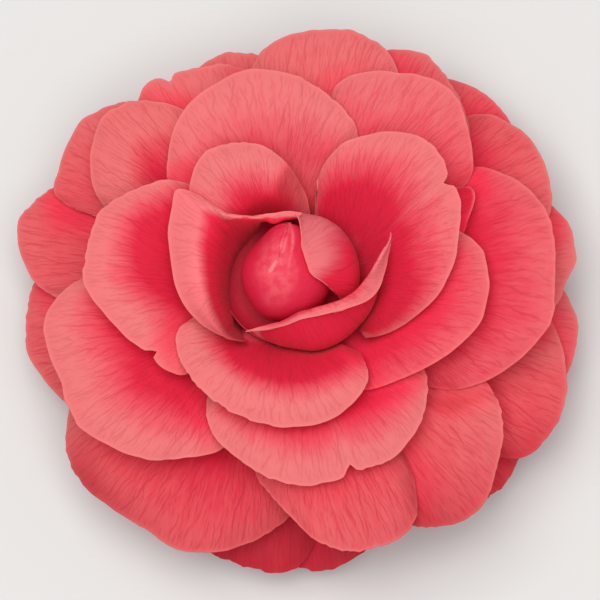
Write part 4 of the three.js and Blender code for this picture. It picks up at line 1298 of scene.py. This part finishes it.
@dataclass(frozen=True)
class CalyxFinish:
    """Silky green sepals, browner at their rims and on the scar."""

    name: str = "sepal_skin"
    green: Colour = (0.20, 0.30, 0.07)
    yellow: Colour = (0.42, 0.44, 0.14)
    brown: Colour = (0.16, 0.09, 0.035)

    def material(self) -> bpy.types.Material:
        """Build the material.

        Returns:
            The material.
        """
        shade = Shade(self.name)
        place = shade.place()
        x, y, z = (shade.part(place, axis) / MM for axis in range(3))
        cloud = shade.noise(shade.vector(x * 0.4, y * 0.4, z * 0.4), 1.0, 3.0)
        grain = shade.noise(shade.vector(x * 3, y * 3, z * 3), 1.0, 3.0)
        margin = shade.mark("margin")
        colour = shade.mix(cloud.between(0.35, 0.65), self.green, self.yellow)
        colour = shade.mix((1 - margin.between(0.1, 1.2)) * 0.6, colour, self.brown)
        colour = shade.mix((1 - z.between(0.05, 0.5)) * 0.8, colour, self.brown)
        return shade.dress(Base_Color=colour, Roughness=0.5, Specular_IOR_Level=0.35,
                           Sheen_Weight=0.2, Normal=shade.bump(grain, 0.0001, 0.5))


@dataclass(frozen=True)
class Lamp:
    """Soft square lamp that points at the bloom, with angles in degrees and sizes in metres."""

    name: str
    azimuth: float
    elevation: float
    distance: float
    size: float
    watts: float
    colour: Colour

    def hang(self, target: Vector) -> None:
        """Hang the lamp.

        Args:
            target: Point that it shines on.
        """
        data = bpy.data.lights.new(self.name, "AREA")
        data.shape, data.size, data.energy, data.color = "SQUARE", self.size, self.watts, self.colour
        lamp = bpy.data.objects.new(self.name, data)
        a, e = math.radians(self.azimuth), math.radians(self.elevation)
        toward = Vector((math.cos(a) * math.cos(e), math.sin(a) * math.cos(e), math.sin(e)))
        lamp.location = target + toward * self.distance
        lamp.rotation_euler = toward.to_track_quat("Z", "Y").to_euler()
        bpy.context.scene.collection.objects.link(lamp)


@dataclass(frozen=True)
class Studio:
    """Plain pale floor, soft light and a camera that looks down on the bloom.

    The camera's azimuth counts from the front, a lamp's from the right, both anticlockwise.
    """

    azimuth: float = 25.0
    elevation: float = 78.5
    distance: float = 0.6
    lens: float = 208.8
    target: tuple[float, float, float] = (0.0015, -0.0024, 0.022)
    sky: Colour = (0.93, 0.96, 1.0)
    sky_strength: float = 0.44
    floor_colour: Colour = (0.58, 0.57, 0.555)
    floor_half: float = 3.0
    lamps: Sequence[Lamp] = (Lamp("key", 120, 77, 0.9, 0.6, 4.3, (1.0, 0.985, 0.96)),
                             Lamp("front", 292, 78, 1.0, 0.8, 7.3, (1.0, 1.0, 1.0)))

    def camera(self) -> None:
        """Place the camera."""
        a, e = math.radians(self.azimuth), math.radians(self.elevation)
        back = Vector((math.sin(a) * math.cos(e), -math.cos(a) * math.cos(e), math.sin(e)))
        up = (Vector((0, 1, 0)) - back.y * back).normalized()
        data = bpy.data.cameras.new("camera")
        data.lens, data.sensor_width, data.clip_start = self.lens, 36.0, 0.01
        camera = bpy.data.objects.new("camera", data)
        turn = Matrix((up.cross(back), up, back)).transposed().to_4x4()
        camera.matrix_world = Matrix.Translation(Vector(self.target) + back * self.distance) @ turn
        bpy.context.scene.collection.objects.link(camera)
        bpy.context.scene.camera = camera

    def floor(self) -> None:
        """Lay the floor."""
        bm = bmesh.new()
        bmesh.ops.create_grid(bm, x_segments=1, y_segments=1, size=self.floor_half)
        mesh = bpy.data.meshes.new("floor")
        bm.to_mesh(mesh)
        bm.free()
        piece = bpy.data.objects.new("floor", mesh)
        bpy.context.scene.collection.objects.link(piece)
        shade = Shade("floor")
        mesh.materials.append(shade.dress(Base_Color=self.floor_colour, Roughness=0.8))

    def light(self) -> None:
        """Hang the lamps and set the sky."""
        world = bpy.data.worlds.new("sky")
        world.use_nodes = True
        sky = world.node_tree.nodes["Background"]
        sky.inputs[0].default_value = (*self.sky, 1)
        sky.inputs[1].default_value = self.sky_strength
        bpy.context.scene.world = world
        for lamp in self.lamps:
            lamp.hang(Vector(self.target))
        bpy.context.scene.view_settings.view_transform = "Standard"

    def build(self) -> None:
        """Set up the whole studio."""
        self.floor()
        self.light()
        self.camera()


@dataclass
class Bloom:
    """The whole flower. Petals are seeded in order, from first_wrapped and first_open on."""

    bud: Bud = field(default_factory=Bud)
    calyx: Calyx = field(default_factory=Calyx)
    wrapped: Sequence[WrappedPetal] = WRAPPED_PETALS
    opened: Sequence[OpenPetal] = OPEN_PETALS
    foot_shade: Colour = (0.36, 0.008, 0.024)
    first_wrapped: int = 1
    first_open: int = 11

    def finishes(self) -> dict[Slot, bpy.types.Material]:
        """Make the materials.

        Returns:
            One for each slot.
        """
        return {
            Slot.HEART: PetalFinish("heart_skin", (0.88, 0.23, 0.25), (0.78, 0.085, 0.13),
                                    (0.83, 0.020, 0.070)).material(),
            Slot.INNER: PetalFinish("inner_skin", (0.80, 0.225, 0.225), (0.79, 0.088, 0.127),
                                    (0.72, 0.016, 0.060), veins=0.42).material(),
            Slot.OUTER: PetalFinish("outer_skin", (0.79, 0.20, 0.20), (0.75, 0.085, 0.11),
                                    veins=0.54).material(),
            Slot.CALYX: CalyxFinish().material(),
        }

    def build(self) -> None:
        """Lay every petal in order and dress it."""
        finishes = self.finishes()
        ceiling = self.bud.room(GRID.empty())
        self.dress(self.bud.build(), BudFinish().material())
        # The dish is painted in the dark crimson of the shade in the hollow round the bud.
        dark = BudFinish("bud_foot_shade", self.foot_shade, self.foot_shade)
        self.dress(self.bud.foot(), dark.material())
        for seed, petal in [*enumerate(self.wrapped, self.first_wrapped),
                            *enumerate(self.opened, self.first_open)]:
            petal.seed = seed
            ceiling = petal.lay(ceiling)
            self.dress(petal.build(), finishes[petal.slot])
        for piece in self.calyx.build(ceiling):
            self.dress(piece, finishes[Slot.CALYX])

    @staticmethod
    def dress(piece: bpy.types.Object, material: bpy.types.Material) -> None:
        """Give a piece its material and report it."""
        piece.data.materials.append(material)
        LOG.info("%s: %d faces", piece.name, len(piece.data.polygons))


def main() -> None:
    """Build the bloom and the studio."""
    logging.basicConfig(level=logging.INFO, format="%(message)s")
    Bloom().build()
    Studio().build()


if __name__ == "__main__":
    main()
